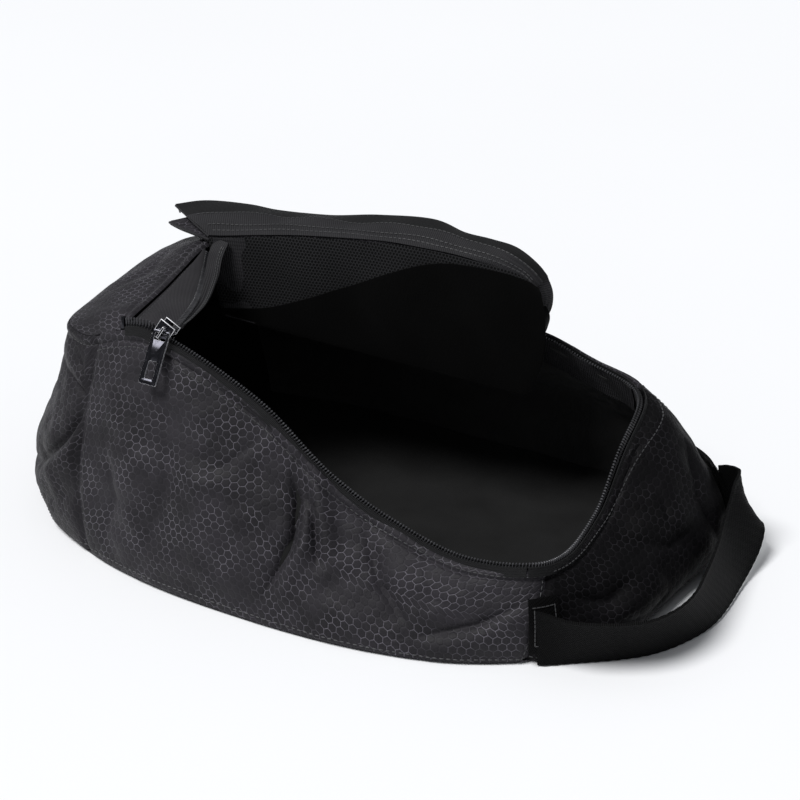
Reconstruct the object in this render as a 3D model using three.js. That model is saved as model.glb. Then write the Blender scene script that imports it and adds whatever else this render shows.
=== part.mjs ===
// Shoe bag with a folding mesh-lined lid, a long zip and a webbing carry handle.
// Units are millimetres, +Z up. The bag lies on its base on the plane z = 0,
// with its heel end towards -X and its toe end, with the handle, towards +X.
import * as THREE from 'three';

// ---------- driving dimensions ----------
const BASE = { heelLength: 192, toeLength: 191, frontWidth: 121, backWidth: 115 };
const BASE_ROUNDNESS = { front: 2.4, toeBack: 5, heelBack: 2.8 };
const MOUTH = { centreX: 3.5, halfLength: 153.5, halfWidth: 79, roundness: 7 };

const FABRIC = 1.2;
const LINING = 0.8;
const LAYER_GAP = 0.6;
const SEAM_GAP = 0.6;

const BASE_BOARD = 2.5;
const BOARD_INSET = 9;

const HEEL_SEAM_X = -123;
const TOE_SEAM_X = 146;
const LID_SEAM_X = -98;
const LID_EDGE_X = -95.5;
const LID_END_X = 84;

// Height of the upper edge of each wall at the places where it changes direction.
const EDGE_HEIGHTS = {
  front: [[HEEL_SEAM_X, 120], [LID_SEAM_X, 131], [-80, 136], [80, 52], [116, 46], [TOE_SEAM_X, 47]],
  toe: [[-70, 47], [-35, 42], [-5, 49], [28, 74], [72, 91]],
  back: [[TOE_SEAM_X, 91], [118, 96], [LID_END_X, 105], [LID_SEAM_X, 121], [HEEL_SEAM_X, 121]],
  heel: [[76, 121], [20, 124], [-50, 119], [-76, 120]],
};
const BULGE = { front: 5, toe: 17, back: 8, heel: 15 };

const LID_SEAM_CROWN = 17;
const GUSSET_TIP = new THREE.Vector3(LID_EDGE_X + 19, -69, 137);
const GUSSET_TOP_Y = 11;
const GUSSET = { lift: 4, crown: 3, inset: 6 };
const HEEL_TOP_LIFT = 1;

// The lid hangs in three pleats between four fold lines, heel end first.
const LID_LINES = {
  hinge: [new THREE.Vector3(LID_EDGE_X, 76, 123.5), new THREE.Vector3(LID_END_X, 77, 108)],
  valley: [new THREE.Vector3(LID_EDGE_X, 16, 104), new THREE.Vector3(LID_END_X, 52, 76)],
  ridge: [new THREE.Vector3(LID_EDGE_X, 24, 148), new THREE.Vector3(LID_END_X, 54, 147)],
  edge: [new THREE.Vector3(LID_EDGE_X - 10.5, 60, 156), new THREE.Vector3(LID_END_X + 8, 76, 152)],
};
const LID_FABRIC = 0.8;
const LID_MESH = 0.8;
const HINGE_GAP = 2.2;
const VALLEY_GAP = 3.2;
const RIDGE_GAP = 1.8;
// Share of the front pleat's width that its zip tape takes.
const LID_TAPE_SHARE = 0.37;
const LID_SIDE_BAND = 18;

const EDGE_LEAN = 0.36;
const TAPE_WIDTH = 11;
const TAPE = 0.8;
const CHAIN_WIDTH = 3;
const CHAIN_THICKNESS = 2;
const CHAIN_GAP = 0.8;

const SLIDER_X = -72;
const SLIDER = { length: 10, width: 10.5, plate: 1.2, clearance: 0.5, postWidth: 2.6 };
const BAIL = { width: 1.4, span: 7, bar: 1.2, clearance: 0.4, seat: 0.3 };
const PULLER = { length: 30, width: 10, thickness: 1.4, eye: 4, rim: 1.5, windowLength: 10, windowWidth: 5 };
const PULLER_LEAN = 0.42;
const PULLER_TILT = 0.3;

const WEBBING = 1.6;
const WEBBING_WIDTH = 32;
const ANCHOR_LENGTH = 9;
const FLOOR_CLEARANCE = 0.8;

const WALL_COLUMNS = 20;
const WALL_ROWS = 6;

// ---------- colours ----------
const nylon = { color: 0x1d1b20, roughness: 0.62, metalness: 0 };
const liningCloth = { color: 0x0d0d0f, roughness: 0.85, metalness: 0 };
const meshCloth = { color: 0x141416, roughness: 0.8, metalness: 0 };
const ribbedTape = { color: 0x19191b, roughness: 0.75, metalness: 0 };
const coil = { color: 0x26262a, roughness: 0.45, metalness: 0 };
const gunmetal = { color: 0x2b2b2f, roughness: 0.3, metalness: 0.9 };
const board = { color: 0x3a3a3c, roughness: 0.8, metalness: 0 };

// ---------- solids from surfaces and sections ----------
const group = new THREE.Group();

function addMesh(name, geometry, look, parent = group) {
  const mesh = new THREE.Mesh(geometry, new THREE.MeshStandardMaterial(look));
  mesh.name = name;
  parent.add(mesh);
  return mesh;
}

function geometryFrom(points, triangles) {
  const geometry = new THREE.BufferGeometry();
  const positions = points.flatMap((p) => [p.x, p.y, p.z]);
  geometry.setAttribute('position', new THREE.Float32BufferAttribute(positions, 3));
  geometry.setIndex(triangles.flat());
  geometry.computeVertexNormals();
  return geometry;
}

function normalAt(surface, u, v) {
  const step = 1e-3;
  const [u0, u1] = [Math.max(0, u - step), Math.min(1, u + step)];
  const [v0, v1] = [Math.max(0, v - step), Math.min(1, v + step)];
  const along = surface(u1, v).sub(surface(u0, v));
  const across = surface(u, v1).sub(surface(u, v0));
  return along.cross(across).normalize();
}

// A closed slab that follows a surface, between two offsets along its normal.
function layer(surface, columns, rows, low, high, range = [0, 1, 0, 1]) {
  const [uStart, uEnd, vStart, vEnd] = range;
  const points = [];
  for (const offset of [high, low]) {
    for (let j = 0; j <= rows; j++) {
      for (let i = 0; i <= columns; i++) {
        const u = uStart + (uEnd - uStart) * i / columns;
        const v = vStart + (vEnd - vStart) * j / rows;
        points.push(surface(u, v).addScaledVector(normalAt(surface, u, v), offset));
      }
    }
  }
  const across = columns + 1;
  const below = across * (rows + 1);
  const triangles = [];
  for (let j = 0; j < rows; j++) {
    for (let i = 0; i < columns; i++) {
      const a = j * across + i;
      const [b, c, d] = [a + 1, a + across + 1, a + across];
      triangles.push([a, b, c], [a, c, d]);
      triangles.push([below + a, below + c, below + b], [below + a, below + d, below + c]);
    }
  }
  const rim = [];
  for (let i = 0; i < columns; i++) rim.push(i);
  for (let j = 0; j < rows; j++) rim.push(j * across + columns);
  for (let i = columns; i > 0; i--) rim.push(rows * across + i);
  for (let j = rows; j > 0; j--) rim.push(j * across);
  rim.forEach((a, k) => {
    const b = rim[(k + 1) % rim.length];
    triangles.push([a, below + a, below + b], [a, below + b, b]);
  });
  return geometryFrom(points, triangles);
}

// A closed solid that joins a row of matching polygons, each turning
// counterclockwise when seen from the first one looking back along the row.
function loft(sections) {
  const corners = sections[0].length;
  const triangles = [];
  for (let s = 0; s < sections.length - 1; s++) {
    for (let k = 0; k < corners; k++) {
      const a = s * corners + k;
      const b = s * corners + (k + 1) % corners;
      triangles.push([a, b, b + corners], [a, b + corners, a + corners]);
    }
  }
  const last = (sections.length - 1) * corners;
  for (let k = 1; k < corners - 1; k++) {
    triangles.push([0, k + 1, k], [last, last + k, last + k + 1]);
  }
  return geometryFrom(sections.flat(), triangles);
}

// ---------- the outline of the base and of the mouth ----------
function power(value, exponent) {
  return Math.sign(value) * Math.abs(value) ** exponent;
}

function baseOutline(angle) {
  const [c, s] = [Math.cos(angle), Math.sin(angle)];
  const backRoundness = c > 0 ? BASE_ROUNDNESS.toeBack : BASE_ROUNDNESS.heelBack;
  const exponent = 2 / (s > 0 ? backRoundness : BASE_ROUNDNESS.front);
  const x = power(c, exponent) * (c > 0 ? BASE.toeLength : BASE.heelLength);
  const y = power(s, exponent) * (s > 0 ? BASE.backWidth : BASE.frontWidth);
  return new THREE.Vector3(x, y, 0);
}

function mouthOutline(angle) {
  const exponent = 2 / MOUTH.roundness;
  const x = MOUTH.centreX + power(Math.cos(angle), exponent) * MOUTH.halfLength;
  return new THREE.Vector3(x, power(Math.sin(angle), exponent) * MOUTH.halfWidth, 0);
}

function mouthAngleAt(x, side) {
  const c = power((x - MOUTH.centreX) / MOUTH.halfLength, MOUTH.roundness / 2);
  return side * Math.acos(c);
}

// Points spread evenly along a stretch of an outline.
function evenly(outline, from, to) {
  const count = 400;
  const points = Array.from({ length: count + 1 }, (_, i) => outline(from + (to - from) * i / count));
  const lengths = [0];
  for (let i = 1; i <= count; i++) lengths.push(lengths[i - 1] + points[i].distanceTo(points[i - 1]));
  return (fraction) => {
    const target = THREE.MathUtils.clamp(fraction, 0, 1) * lengths[count];
    let i = 1;
    while (i < count && lengths[i] < target) i++;
    const share = (target - lengths[i - 1]) / (lengths[i] - lengths[i - 1]);
    return points[i - 1].clone().lerp(points[i], share);
  };
}

function heightAt(stations, place) {
  const rising = stations[0][0] < stations[stations.length - 1][0];
  const sorted = rising ? stations : [...stations].reverse();
  if (place <= sorted[0][0]) return sorted[0][1];
  for (let i = 1; i < sorted.length; i++) {
    const [[a, za], [b, zb]] = [sorted[i - 1], sorted[i]];
    if (place <= b) return za + (zb - za) * (place - a) / (b - a);
  }
  return sorted[sorted.length - 1][1];
}

// ---------- the four walls ----------
const TURN = 2 * Math.PI;
const seamAngles = {
  frontHeel: mouthAngleAt(HEEL_SEAM_X, -1),
  frontToe: mouthAngleAt(TOE_SEAM_X, -1),
  backToe: mouthAngleAt(TOE_SEAM_X, 1),
  backHeel: mouthAngleAt(HEEL_SEAM_X, 1),
};
const WALLS = {
  front: { from: seamAngles.frontHeel, to: seamAngles.frontToe, along: 'x' },
  toe: { from: seamAngles.frontToe, to: seamAngles.backToe, along: 'y' },
  back: { from: seamAngles.backToe, to: seamAngles.backHeel, along: 'x' },
  heel: { from: seamAngles.backHeel, to: seamAngles.frontHeel + TURN, along: 'y' },
};

for (const [name, wall] of Object.entries(WALLS)) {
  const foot = evenly(baseOutline, wall.from, wall.to);
  const edge = evenly(mouthOutline, wall.from, wall.to);
  wall.edge = (u) => {
    const point = edge(u);
    return point.setZ(heightAt(EDGE_HEIGHTS[name], point[wall.along]));
  };
  wall.surface = (u, v) => {
    const low = foot(u).setZ(FABRIC + 2 * LAYER_GAP);
    const point = low.clone().lerp(wall.edge(u), v);
    const outward = foot(Math.min(1, u + 0.01)).sub(foot(Math.max(0, u - 0.01)));
    outward.set(outward.y, -outward.x, 0).normalize();
    return point.addScaledVector(outward, BULGE[name] * Math.sin(Math.PI * v) * Math.sin(Math.PI * u));
  };
  const middle = wall.surface(0.5, 0);
  wall.length = wall.surface(0, 0).distanceTo(middle) + wall.surface(1, 0).distanceTo(middle);
  wall.height = wall.surface(0.5, 0).distanceTo(wall.surface(0.5, 1));
}

function fractionAlongEdge(wall, place) {
  let [low, high] = [0, 1];
  const rising = wall.edge(0)[wall.along] < wall.edge(1)[wall.along];
  for (let i = 0; i < 40; i++) {
    const middle = (low + high) / 2;
    const before = wall.edge(middle)[wall.along] < place;
    if (before === rising) low = middle;
    else high = middle;
  }
  return low;
}

function wallColumns(wall) {
  const gap = SEAM_GAP / wall.length;
  return Array.from({ length: WALL_COLUMNS + 1 }, (_, i) => gap + (1 - 2 * gap) * i / WALL_COLUMNS);
}

// Depth from the outer face of a wall to the inside of its layers.
const liningOuter = FABRIC + LAYER_GAP;
const liningInner = liningOuter + LINING;

for (const [name, wall] of Object.entries(WALLS)) {
  const uGap = SEAM_GAP / wall.length;
  const nodeName = name === 'toe' || name === 'heel' ? `${name}_panel` : `${name}_wall`;
  addMesh(nodeName, layer(wall.surface, WALL_COLUMNS, WALL_ROWS, -FABRIC, 0,
    [uGap, 1 - uGap, 0, 1]), nylon);
  // The lining stops one row below the edge, where the zip tape takes over.
  const rows = WALL_ROWS - 1;
  addMesh(`${name}_lining`, layer(wall.surface, WALL_COLUMNS, rows, -liningInner, -liningOuter,
    [uGap, 1 - uGap, 0, rows / WALL_ROWS]), liningCloth);
}

// ---------- the base ----------
function baseSlab(name, inset, low, thickness, look) {
  const count = 72;
  const ring = Array.from({ length: count }, (_, i) => {
    const point = baseOutline(-Math.PI + TURN * i / count);
    return new THREE.Vector2(point.x, point.y);
  });
  const shrink = 1 - inset / BASE.frontWidth;
  const shape = new THREE.Shape(ring.map((p) => p.multiplyScalar(shrink)));
  const geometry = new THREE.ExtrudeGeometry(shape, { depth: thickness, bevelEnabled: false });
  geometry.translate(0, 0, low);
  addMesh(name, geometry, look);
}

baseSlab('base_panel', 0, 0, FABRIC, nylon);
baseSlab('base_board', BOARD_INSET, FABRIC + LAYER_GAP, BASE_BOARD, board);
baseSlab('base_lining', BOARD_INSET, FABRIC + 2 * LAYER_GAP + BASE_BOARD, LINING, liningCloth);

// ---------- the fixed top at the heel ----------
const frontSeamFraction = fractionAlongEdge(WALLS.front, LID_SEAM_X);
const backSeamFraction = fractionAlongEdge(WALLS.back, LID_SEAM_X);
const seamFront = WALLS.front.edge(frontSeamFraction);
const seamBack = WALLS.back.edge(backSeamFraction);

function lidSeam(u) {
  const point = seamFront.clone().lerp(seamBack, u);
  return point.setZ(point.z + LID_SEAM_CROWN * Math.sin(Math.PI * u) ** 0.8);
}

// A Coons patch between the heel wall's edge, the two side edges and the lid seam.
function heelTop(u, v) {
  const heelEdge = WALLS.heel.edge(1 - u);
  const frontSide = WALLS.front.edge(frontSeamFraction * v);
  const backSide = WALLS.back.edge(1 - (1 - backSeamFraction) * v);
  const ends = heelEdge.clone().lerp(lidSeam(u), v);
  const sides = frontSide.clone().lerp(backSide, u);
  const bottom = WALLS.heel.edge(1).lerp(WALLS.heel.edge(0), u);
  const corners = bottom.lerp(lidSeam(0).lerp(lidSeam(1), u), v);
  const point = ends.add(sides).sub(corners);
  return point.setZ(point.z + HEEL_TOP_LIFT);
}

// The patch runs front to back, so its normal points down and offsets are negative upwards.
addMesh('heel_top_panel', layer(heelTop, 14, 8, -FABRIC, 0, [0, 1, 0, 1]), nylon);
const liningRange = [0.06, 0.94, 0.12, 0.98];
addMesh('heel_top_lining', layer(heelTop, 14, 8, LAYER_GAP, LAYER_GAP + LINING, liningRange), liningCloth);

// ---------- the zip on the bag's side ----------
// The run of the zip: along the front, round the toe and back to the end of the lid's hinge.
const chainStart = fractionAlongEdge(WALLS.front, LID_SEAM_X + 4);
const chainEnd = fractionAlongEdge(WALLS.back, LID_END_X);
const zipRun = [
  { wall: WALLS.front, from: chainStart, to: 1 },
  { wall: WALLS.toe, from: 0, to: 1 },
  { wall: WALLS.back, from: 0, to: chainEnd },
];

// The zip leans inwards with the walls, by the same angle all the way round.
function edgeFrame(wall, u) {
  const safe = THREE.MathUtils.clamp(u, 0.004, 0.996);
  const origin = wall.edge(u);
  const along = wall.edge(safe + 0.004).sub(wall.edge(safe - 0.004)).normalize();
  const level = new THREE.Vector3(along.y, -along.x, 0).normalize();
  const out = level.multiplyScalar(Math.cos(EDGE_LEAN)).setZ(Math.sin(EDGE_LEAN));
  out.addScaledVector(along, -out.dot(along)).normalize();
  const up = out.clone().cross(along).normalize();
  return { origin, along, out, up };
}

// A rectangle in the plane across the edge: rise is up the wall, depth is outwards.
function rectangleAt({ origin, up, out }, rises, depths) {
  const corner = (rise, depth) => origin.clone().addScaledVector(up, rise).addScaledVector(out, depth);
  const [low, high] = rises;
  const [inner, outer] = depths;
  return [corner(low, outer), corner(low, inner), corner(high, inner), corner(high, outer)];
}

// Frames at a wall's own columns, so that what follows the edge bends where the wall does.
function framesAlong(run) {
  return run.flatMap(({ wall, from, to }, index) => {
    const inside = wallColumns(wall).filter((u) => u > from + 0.01 && u < to - 0.01);
    const first = index === 0 ? [from] : [];
    return [...first, ...inside, to].map((u) => edgeFrame(wall, u));
  });
}

function smoothed(frames) {
  return frames.map((frame, i) => {
    const near = [frames[Math.max(0, i - 1)], frame, frames[Math.min(frames.length - 1, i + 1)]];
    const mean = (key) => near.reduce((sum, f) => sum.add(f[key]), new THREE.Vector3()).normalize();
    return { origin: frame.origin, along: mean('along'), out: mean('out'), up: mean('up') };
  });
}

const zipFrames = smoothed(framesAlong(zipRun));
const chainDepths = [-FABRIC / 2 - CHAIN_THICKNESS / 2, -FABRIC / 2 + CHAIN_THICKNESS / 2];
const chainRises = [CHAIN_GAP, CHAIN_GAP + CHAIN_WIDTH];
addMesh('zip_chain_body', loft(zipFrames.map((f) => rectangleAt(f, chainRises, chainDepths))), coil);

// The tape lines the top of each wall, on the inside.
const tapeOuter = liningInner + LAYER_GAP;
const tapeInner = tapeOuter + TAPE;
for (const [name, from, to] of [['front', chainStart, 1], ['toe', 0, 1], ['back', 0, chainEnd]]) {
  const wall = WALLS[name];
  const uGap = SEAM_GAP * 2 / wall.length;
  addMesh(`zip_tape_${name}`, layer(wall.surface, WALL_COLUMNS, 2, -tapeInner, -tapeOuter,
    [Math.max(from, uGap), Math.min(to, 1 - uGap), 1 - TAPE_WIDTH / wall.height, 0.995]), ribbedTape);
}

// The short closed stretch between the end stop and the slider.
const sliderFraction = fractionAlongEdge(WALLS.front, SLIDER_X);
const closedEnd = fractionAlongEdge(WALLS.front, SLIDER_X - SLIDER.length / 2 - 1);
const closedFrames = framesAlong([{ wall: WALLS.front, from: chainStart, to: closedEnd }]);
const farRises = chainRises.map((rise) => rise + CHAIN_WIDTH + CHAIN_GAP);
addMesh('zip_chain_closed', loft(closedFrames.map((f) => rectangleAt(f, farRises, chainDepths))), coil);

const stopFrames = [1.2, 3.2].map((back) => edgeFrame(
  WALLS.front, chainStart - back / WALLS.front.length));
addMesh('zip_end_stop', loft(stopFrames.reverse().map((f) => rectangleAt(
  f, [CHAIN_GAP, farRises[1]], chainDepths))), gunmetal);

// Cloth binding over the back edge that carries the lid's hinge seam.
const bindingRun = [{ wall: WALLS.back, from: chainEnd + 0.01, to: backSeamFraction - 0.01 }];
addMesh('back_edge_binding', loft(framesAlong(bindingRun).map((f) => rectangleAt(
  f, [CHAIN_GAP, CHAIN_GAP + 1], [-1.4, 0]))), ribbedTape);

// ---------- the slider and its puller ----------
const sliderFrame = edgeFrame(WALLS.front, sliderFraction);
const sliderGroup = new THREE.Group();
sliderGroup.applyMatrix4(new THREE.Matrix4().makeBasis(
  sliderFrame.along, sliderFrame.up, sliderFrame.out).setPosition(sliderFrame.origin));
group.add(sliderGroup);

// In the slider's own frame: X along the zip, Y up the wall, Z outwards.
const outerFace = chainDepths[1] + SLIDER.clearance;
const innerFace = -tapeInner - SLIDER.clearance;
const postLow = chainRises[1] + SLIDER.clearance;
const sliderMiddle = postLow + SLIDER.postWidth / 2;

function sliderProfile() {
  const half = SLIDER.width / 2;
  const shape = new THREE.Shape();
  const postHigh = postLow + SLIDER.postWidth;
  shape.moveTo(innerFace - SLIDER.plate, sliderMiddle - half);
  shape.lineTo(innerFace, sliderMiddle - half);
  shape.lineTo(innerFace, postLow);
  shape.lineTo(outerFace, postLow);
  shape.lineTo(outerFace, sliderMiddle - half);
  shape.lineTo(outerFace + SLIDER.plate, sliderMiddle - half);
  shape.lineTo(outerFace + SLIDER.plate, sliderMiddle + half);
  shape.lineTo(outerFace, sliderMiddle + half);
  shape.lineTo(outerFace, postHigh);
  shape.lineTo(innerFace, postHigh);
  shape.lineTo(innerFace, sliderMiddle + half);
  shape.lineTo(innerFace - SLIDER.plate, sliderMiddle + half);
  return shape;
}

// The profile's x is the outward depth and its y is the rise; it is extruded along the zip.
const sliderBody = new THREE.ExtrudeGeometry(sliderProfile(), { depth: SLIDER.length, bevelEnabled: false });
sliderBody.translate(0, 0, -SLIDER.length / 2);
sliderBody.applyMatrix4(new THREE.Matrix4().makeBasis(
  new THREE.Vector3(0, 0, 1), new THREE.Vector3(0, 1, 0), new THREE.Vector3(-1, 0, 0)));
addMesh('slider_body', sliderBody, gunmetal, sliderGroup);

// The bail bridges the plate across the zip and the puller's crossbar turns under it.
const plateTop = outerFace + SLIDER.plate;
const barRoom = PULLER.thickness + 2 * BAIL.clearance;
const bailShape = new THREE.Shape();
const bailHalf = BAIL.span / 2;
bailShape.moveTo(-bailHalf, 0);
bailShape.lineTo(-bailHalf + BAIL.bar, 0);
bailShape.lineTo(-bailHalf + BAIL.bar, barRoom);
bailShape.lineTo(bailHalf - BAIL.bar, barRoom);
bailShape.lineTo(bailHalf - BAIL.bar, 0);
bailShape.lineTo(bailHalf, 0);
bailShape.lineTo(bailHalf, barRoom + BAIL.bar);
bailShape.lineTo(-bailHalf, barRoom + BAIL.bar);
const bail = new THREE.ExtrudeGeometry(bailShape, { depth: BAIL.width, bevelEnabled: false });
bail.translate(0, 0, -BAIL.width / 2);
bail.applyMatrix4(new THREE.Matrix4().makeBasis(
  new THREE.Vector3(0, 1, 0), new THREE.Vector3(0, 0, 1), new THREE.Vector3(1, 0, 0)));
bail.translate(0, sliderMiddle, plateTop + BAIL.seat);
addMesh('slider_bail', bail, gunmetal, sliderGroup);

// The puller hangs plumb from its crossbar: a plate with an eye at the top and a window below.
const pullerGroup = new THREE.Group();
const crossbarHeight = plateTop + BAIL.seat + barRoom / 2;
pullerGroup.position.set(0, sliderMiddle, crossbarHeight);
pullerGroup.rotation.set(-PULLER_TILT, 0, PULLER_LEAN, 'ZXY');
sliderGroup.add(pullerGroup);

function roundedRectangle(x0, y0, x1, y1, radius, path) {
  path.moveTo(x0 + radius, y0);
  path.lineTo(x1 - radius, y0);
  path.absarc(x1 - radius, y0 + radius, radius, -Math.PI / 2, 0, false);
  path.lineTo(x1, y1 - radius);
  path.absarc(x1 - radius, y1 - radius, radius, 0, Math.PI / 2, false);
  path.lineTo(x0 + radius, y1);
  path.absarc(x0 + radius, y1 - radius, radius, Math.PI / 2, Math.PI, false);
  path.lineTo(x0, y0 + radius);
  path.absarc(x0 + radius, y0 + radius, radius, Math.PI, 1.5 * Math.PI, false);
  return path;
}

const crossbarHalf = PULLER.rim / 2;
const pullerShape = roundedRectangle(-PULLER.width / 2, crossbarHalf - PULLER.length,
  PULLER.width / 2, crossbarHalf, 1, new THREE.Shape());
const eyeHalf = PULLER.width / 2 - PULLER.rim;
pullerShape.holes.push(roundedRectangle(-eyeHalf, -crossbarHalf - PULLER.eye,
  eyeHalf, -crossbarHalf, 0.5, new THREE.Path()));
const windowLow = crossbarHalf - PULLER.length + 2 * PULLER.rim;
pullerShape.holes.push(roundedRectangle(-PULLER.windowWidth / 2, windowLow,
  PULLER.windowWidth / 2, windowLow + PULLER.windowLength, 0.8, new THREE.Path()));
const pullerPlate = new THREE.ExtrudeGeometry(pullerShape,
  { depth: PULLER.thickness, bevelEnabled: false, curveSegments: 3 });
pullerPlate.translate(0, 0, -PULLER.thickness / 2);
addMesh('puller', pullerPlate, gunmetal, pullerGroup);

// ---------- the lid ----------
function linePoint([start, end], u) {
  return start.clone().lerp(end, u);
}

function pleat(lineA, lineB) {
  return (u, v) => linePoint(lineA, u).lerp(linePoint(lineB, u), v);
}

function pleatRange(lineA, lineB, gapA, gapB) {
  const span = Math.min(lineA[0].distanceTo(lineB[0]), lineA[1].distanceTo(lineB[1]));
  return [0, 1, gapA / span, 1 - gapB / span];
}

const { hinge, valley, ridge, edge: lidEdge } = LID_LINES;
const LID_HALF_GAP = LAYER_GAP / 2;
const meshOffsets = [LID_HALF_GAP, LID_HALF_GAP + LID_MESH];
const clothOffsets = [-LID_HALF_GAP - LID_FABRIC, -LID_HALF_GAP];
const pleats = {
  back: { surface: pleat(hinge, valley), range: pleatRange(hinge, valley, HINGE_GAP, VALLEY_GAP) },
  middle: { surface: pleat(valley, ridge), range: pleatRange(valley, ridge, VALLEY_GAP, RIDGE_GAP) },
  front: { surface: pleat(ridge, lidEdge), range: pleatRange(ridge, lidEdge, RIDGE_GAP, 0) },
};

for (const [name, { surface, range }] of Object.entries(pleats)) {
  addMesh(`lid_${name}_panel`, layer(surface, 12, 3, ...clothOffsets, range), nylon);
}
addMesh('lid_back_mesh', layer(pleats.back.surface, 12, 3, ...meshOffsets, pleats.back.range), meshCloth);

const sideShare = LID_SIDE_BAND / ridge[0].distanceTo(ridge[1]);
const [, , middleLow, middleHigh] = pleats.middle.range;
addMesh('lid_middle_mesh', layer(pleats.middle.surface, 12, 3, ...meshOffsets,
  [sideShare + SEAM_GAP / ridge[0].distanceTo(ridge[1]), 1, middleLow, middleHigh]), meshCloth);
addMesh('lid_side_band', layer(pleats.middle.surface, 2, 3, ...meshOffsets,
  [0, sideShare, middleLow, middleHigh]), ribbedTape);

const frontSpan = ridge[1].distanceTo(lidEdge[1]);
const [, , frontLow] = pleats.front.range;
const chainShare = (CHAIN_WIDTH + CHAIN_GAP) / frontSpan;
const chainLow = CHAIN_GAP / frontSpan;
const beyondEdge = (u, v) => pleats.front.surface(u, 1 + chainLow + (chainShare - chainLow) * v);
addMesh('lid_front_band', layer(pleats.front.surface, 12, 3, ...meshOffsets,
  [0, 1, frontLow, 1 - LID_TAPE_SHARE]), ribbedTape);
addMesh('zip_tape_lid', layer(pleats.front.surface, 12, 2, ...meshOffsets,
  [0, 1, 1 - LID_TAPE_SHARE + SEAM_GAP / frontSpan, 1]), ribbedTape);
addMesh('zip_chain_lid', layer(beyondEdge, 24, 1, clothOffsets[0], meshOffsets[1]), coil);

// The corner of the lid that stays sewn to the heel top and folds as the lid closes.
const gussetTop = lidSeam((GUSSET_TOP_Y - seamFront.y) / (seamBack.y - seamFront.y));
gussetTop.set(LID_EDGE_X, GUSSET_TOP_Y, gussetTop.z + 1);
function gusset(u, v) {
  const start = seamFront.clone().setX(LID_EDGE_X).lerp(gussetTop, v);
  const end = GUSSET_TIP.clone().lerp(gussetTop.clone().setX(LID_EDGE_X + 2), v);
  start.z += GUSSET.lift + GUSSET.crown * Math.sin(Math.PI * v);
  end.z += GUSSET.lift;
  start.y += GUSSET.inset * (1 - v);
  return start.lerp(end, u);
}
addMesh('lid_corner_gusset', layer(gusset, 6, 8, 0, LID_FABRIC), nylon);

// ---------- the carry handle ----------
// The webbing stands on its lower edge, so each section runs from a foot to a head.
const HANDLE_FRONT_U = 0.03;
const HANDLE_BACK_U = 0.95;
const HANDLE_PATH = [
  [[163, -80, FLOOR_CLEARANCE], [161, -82, 32]],
  [[174, -72, FLOOR_CLEARANCE], [177, -80, 30]],
  [[193, -58, FLOOR_CLEARANCE], [200, -67, 29]],
  [[208, -43, FLOOR_CLEARANCE], [214, -52, 30]],
  [[220, -21, FLOOR_CLEARANCE], [221, -28, 31]],
  [[226, 4, FLOOR_CLEARANCE], [217, 5, 31]],
  [[225, 42, 2], [209, 48, 31]],
  [[223, 70, 12], [206, 72, 40]],
  [[218, 82, 18], [204, 82, 45]],
  [[205, 86, 16], [196, 86, 45]],
  [[193, 86, 12], [190, 87, 43]],
];

function ribbonSections(path, steps) {
  const curve = (end) => new THREE.CatmullRomCurve3(path.map((pair) => new THREE.Vector3(...pair[end])));
  const [feet, heads] = [curve(0), curve(1)];
  return Array.from({ length: steps + 1 }, (_, i) => {
    const t = i / steps;
    const [foot, head] = [feet.getPoint(t), heads.getPoint(t)];
    const middle = foot.clone().lerp(head, 0.5);
    const half = head.clone().sub(foot).setLength(WEBBING_WIDTH / 2);
    if (middle.z - half.z < FLOOR_CLEARANCE) middle.z = FLOOR_CLEARANCE + half.z;
    const ahead = feet.getTangent(t).add(heads.getTangent(t));
    const out = ahead.cross(half).normalize().multiplyScalar(WEBBING / 2);
    const corner = (h, o) => middle.clone().addScaledVector(half, h).addScaledVector(out, o);
    return [corner(1, 1), corner(-1, 1), corner(-1, -1), corner(1, -1)];
  });
}

addMesh('handle_webbing', loft(ribbonSections(HANDLE_PATH, 48)), ribbedTape);

function anchor(name, u, low, high) {
  const wall = WALLS.toe;
  const reach = ANCHOR_LENGTH / wall.length;
  const top = wall.edge(u).z;
  addMesh(name, layer(wall.surface, 3, 4, LAYER_GAP, LAYER_GAP + WEBBING,
    [u - reach / 2, u + reach / 2, low / top, high / top]), ribbedTape);
}
anchor('handle_anchor_front', HANDLE_FRONT_U + 0.01, 3, 33);
anchor('handle_anchor_back', HANDLE_BACK_U, 12, 43);

export default group;
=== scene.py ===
"""The shoe bag's visible cloth, zip, webbing and metal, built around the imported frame.

Lengths are millimetres until a mesh is made, where they become metres.
"""
import math

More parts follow.
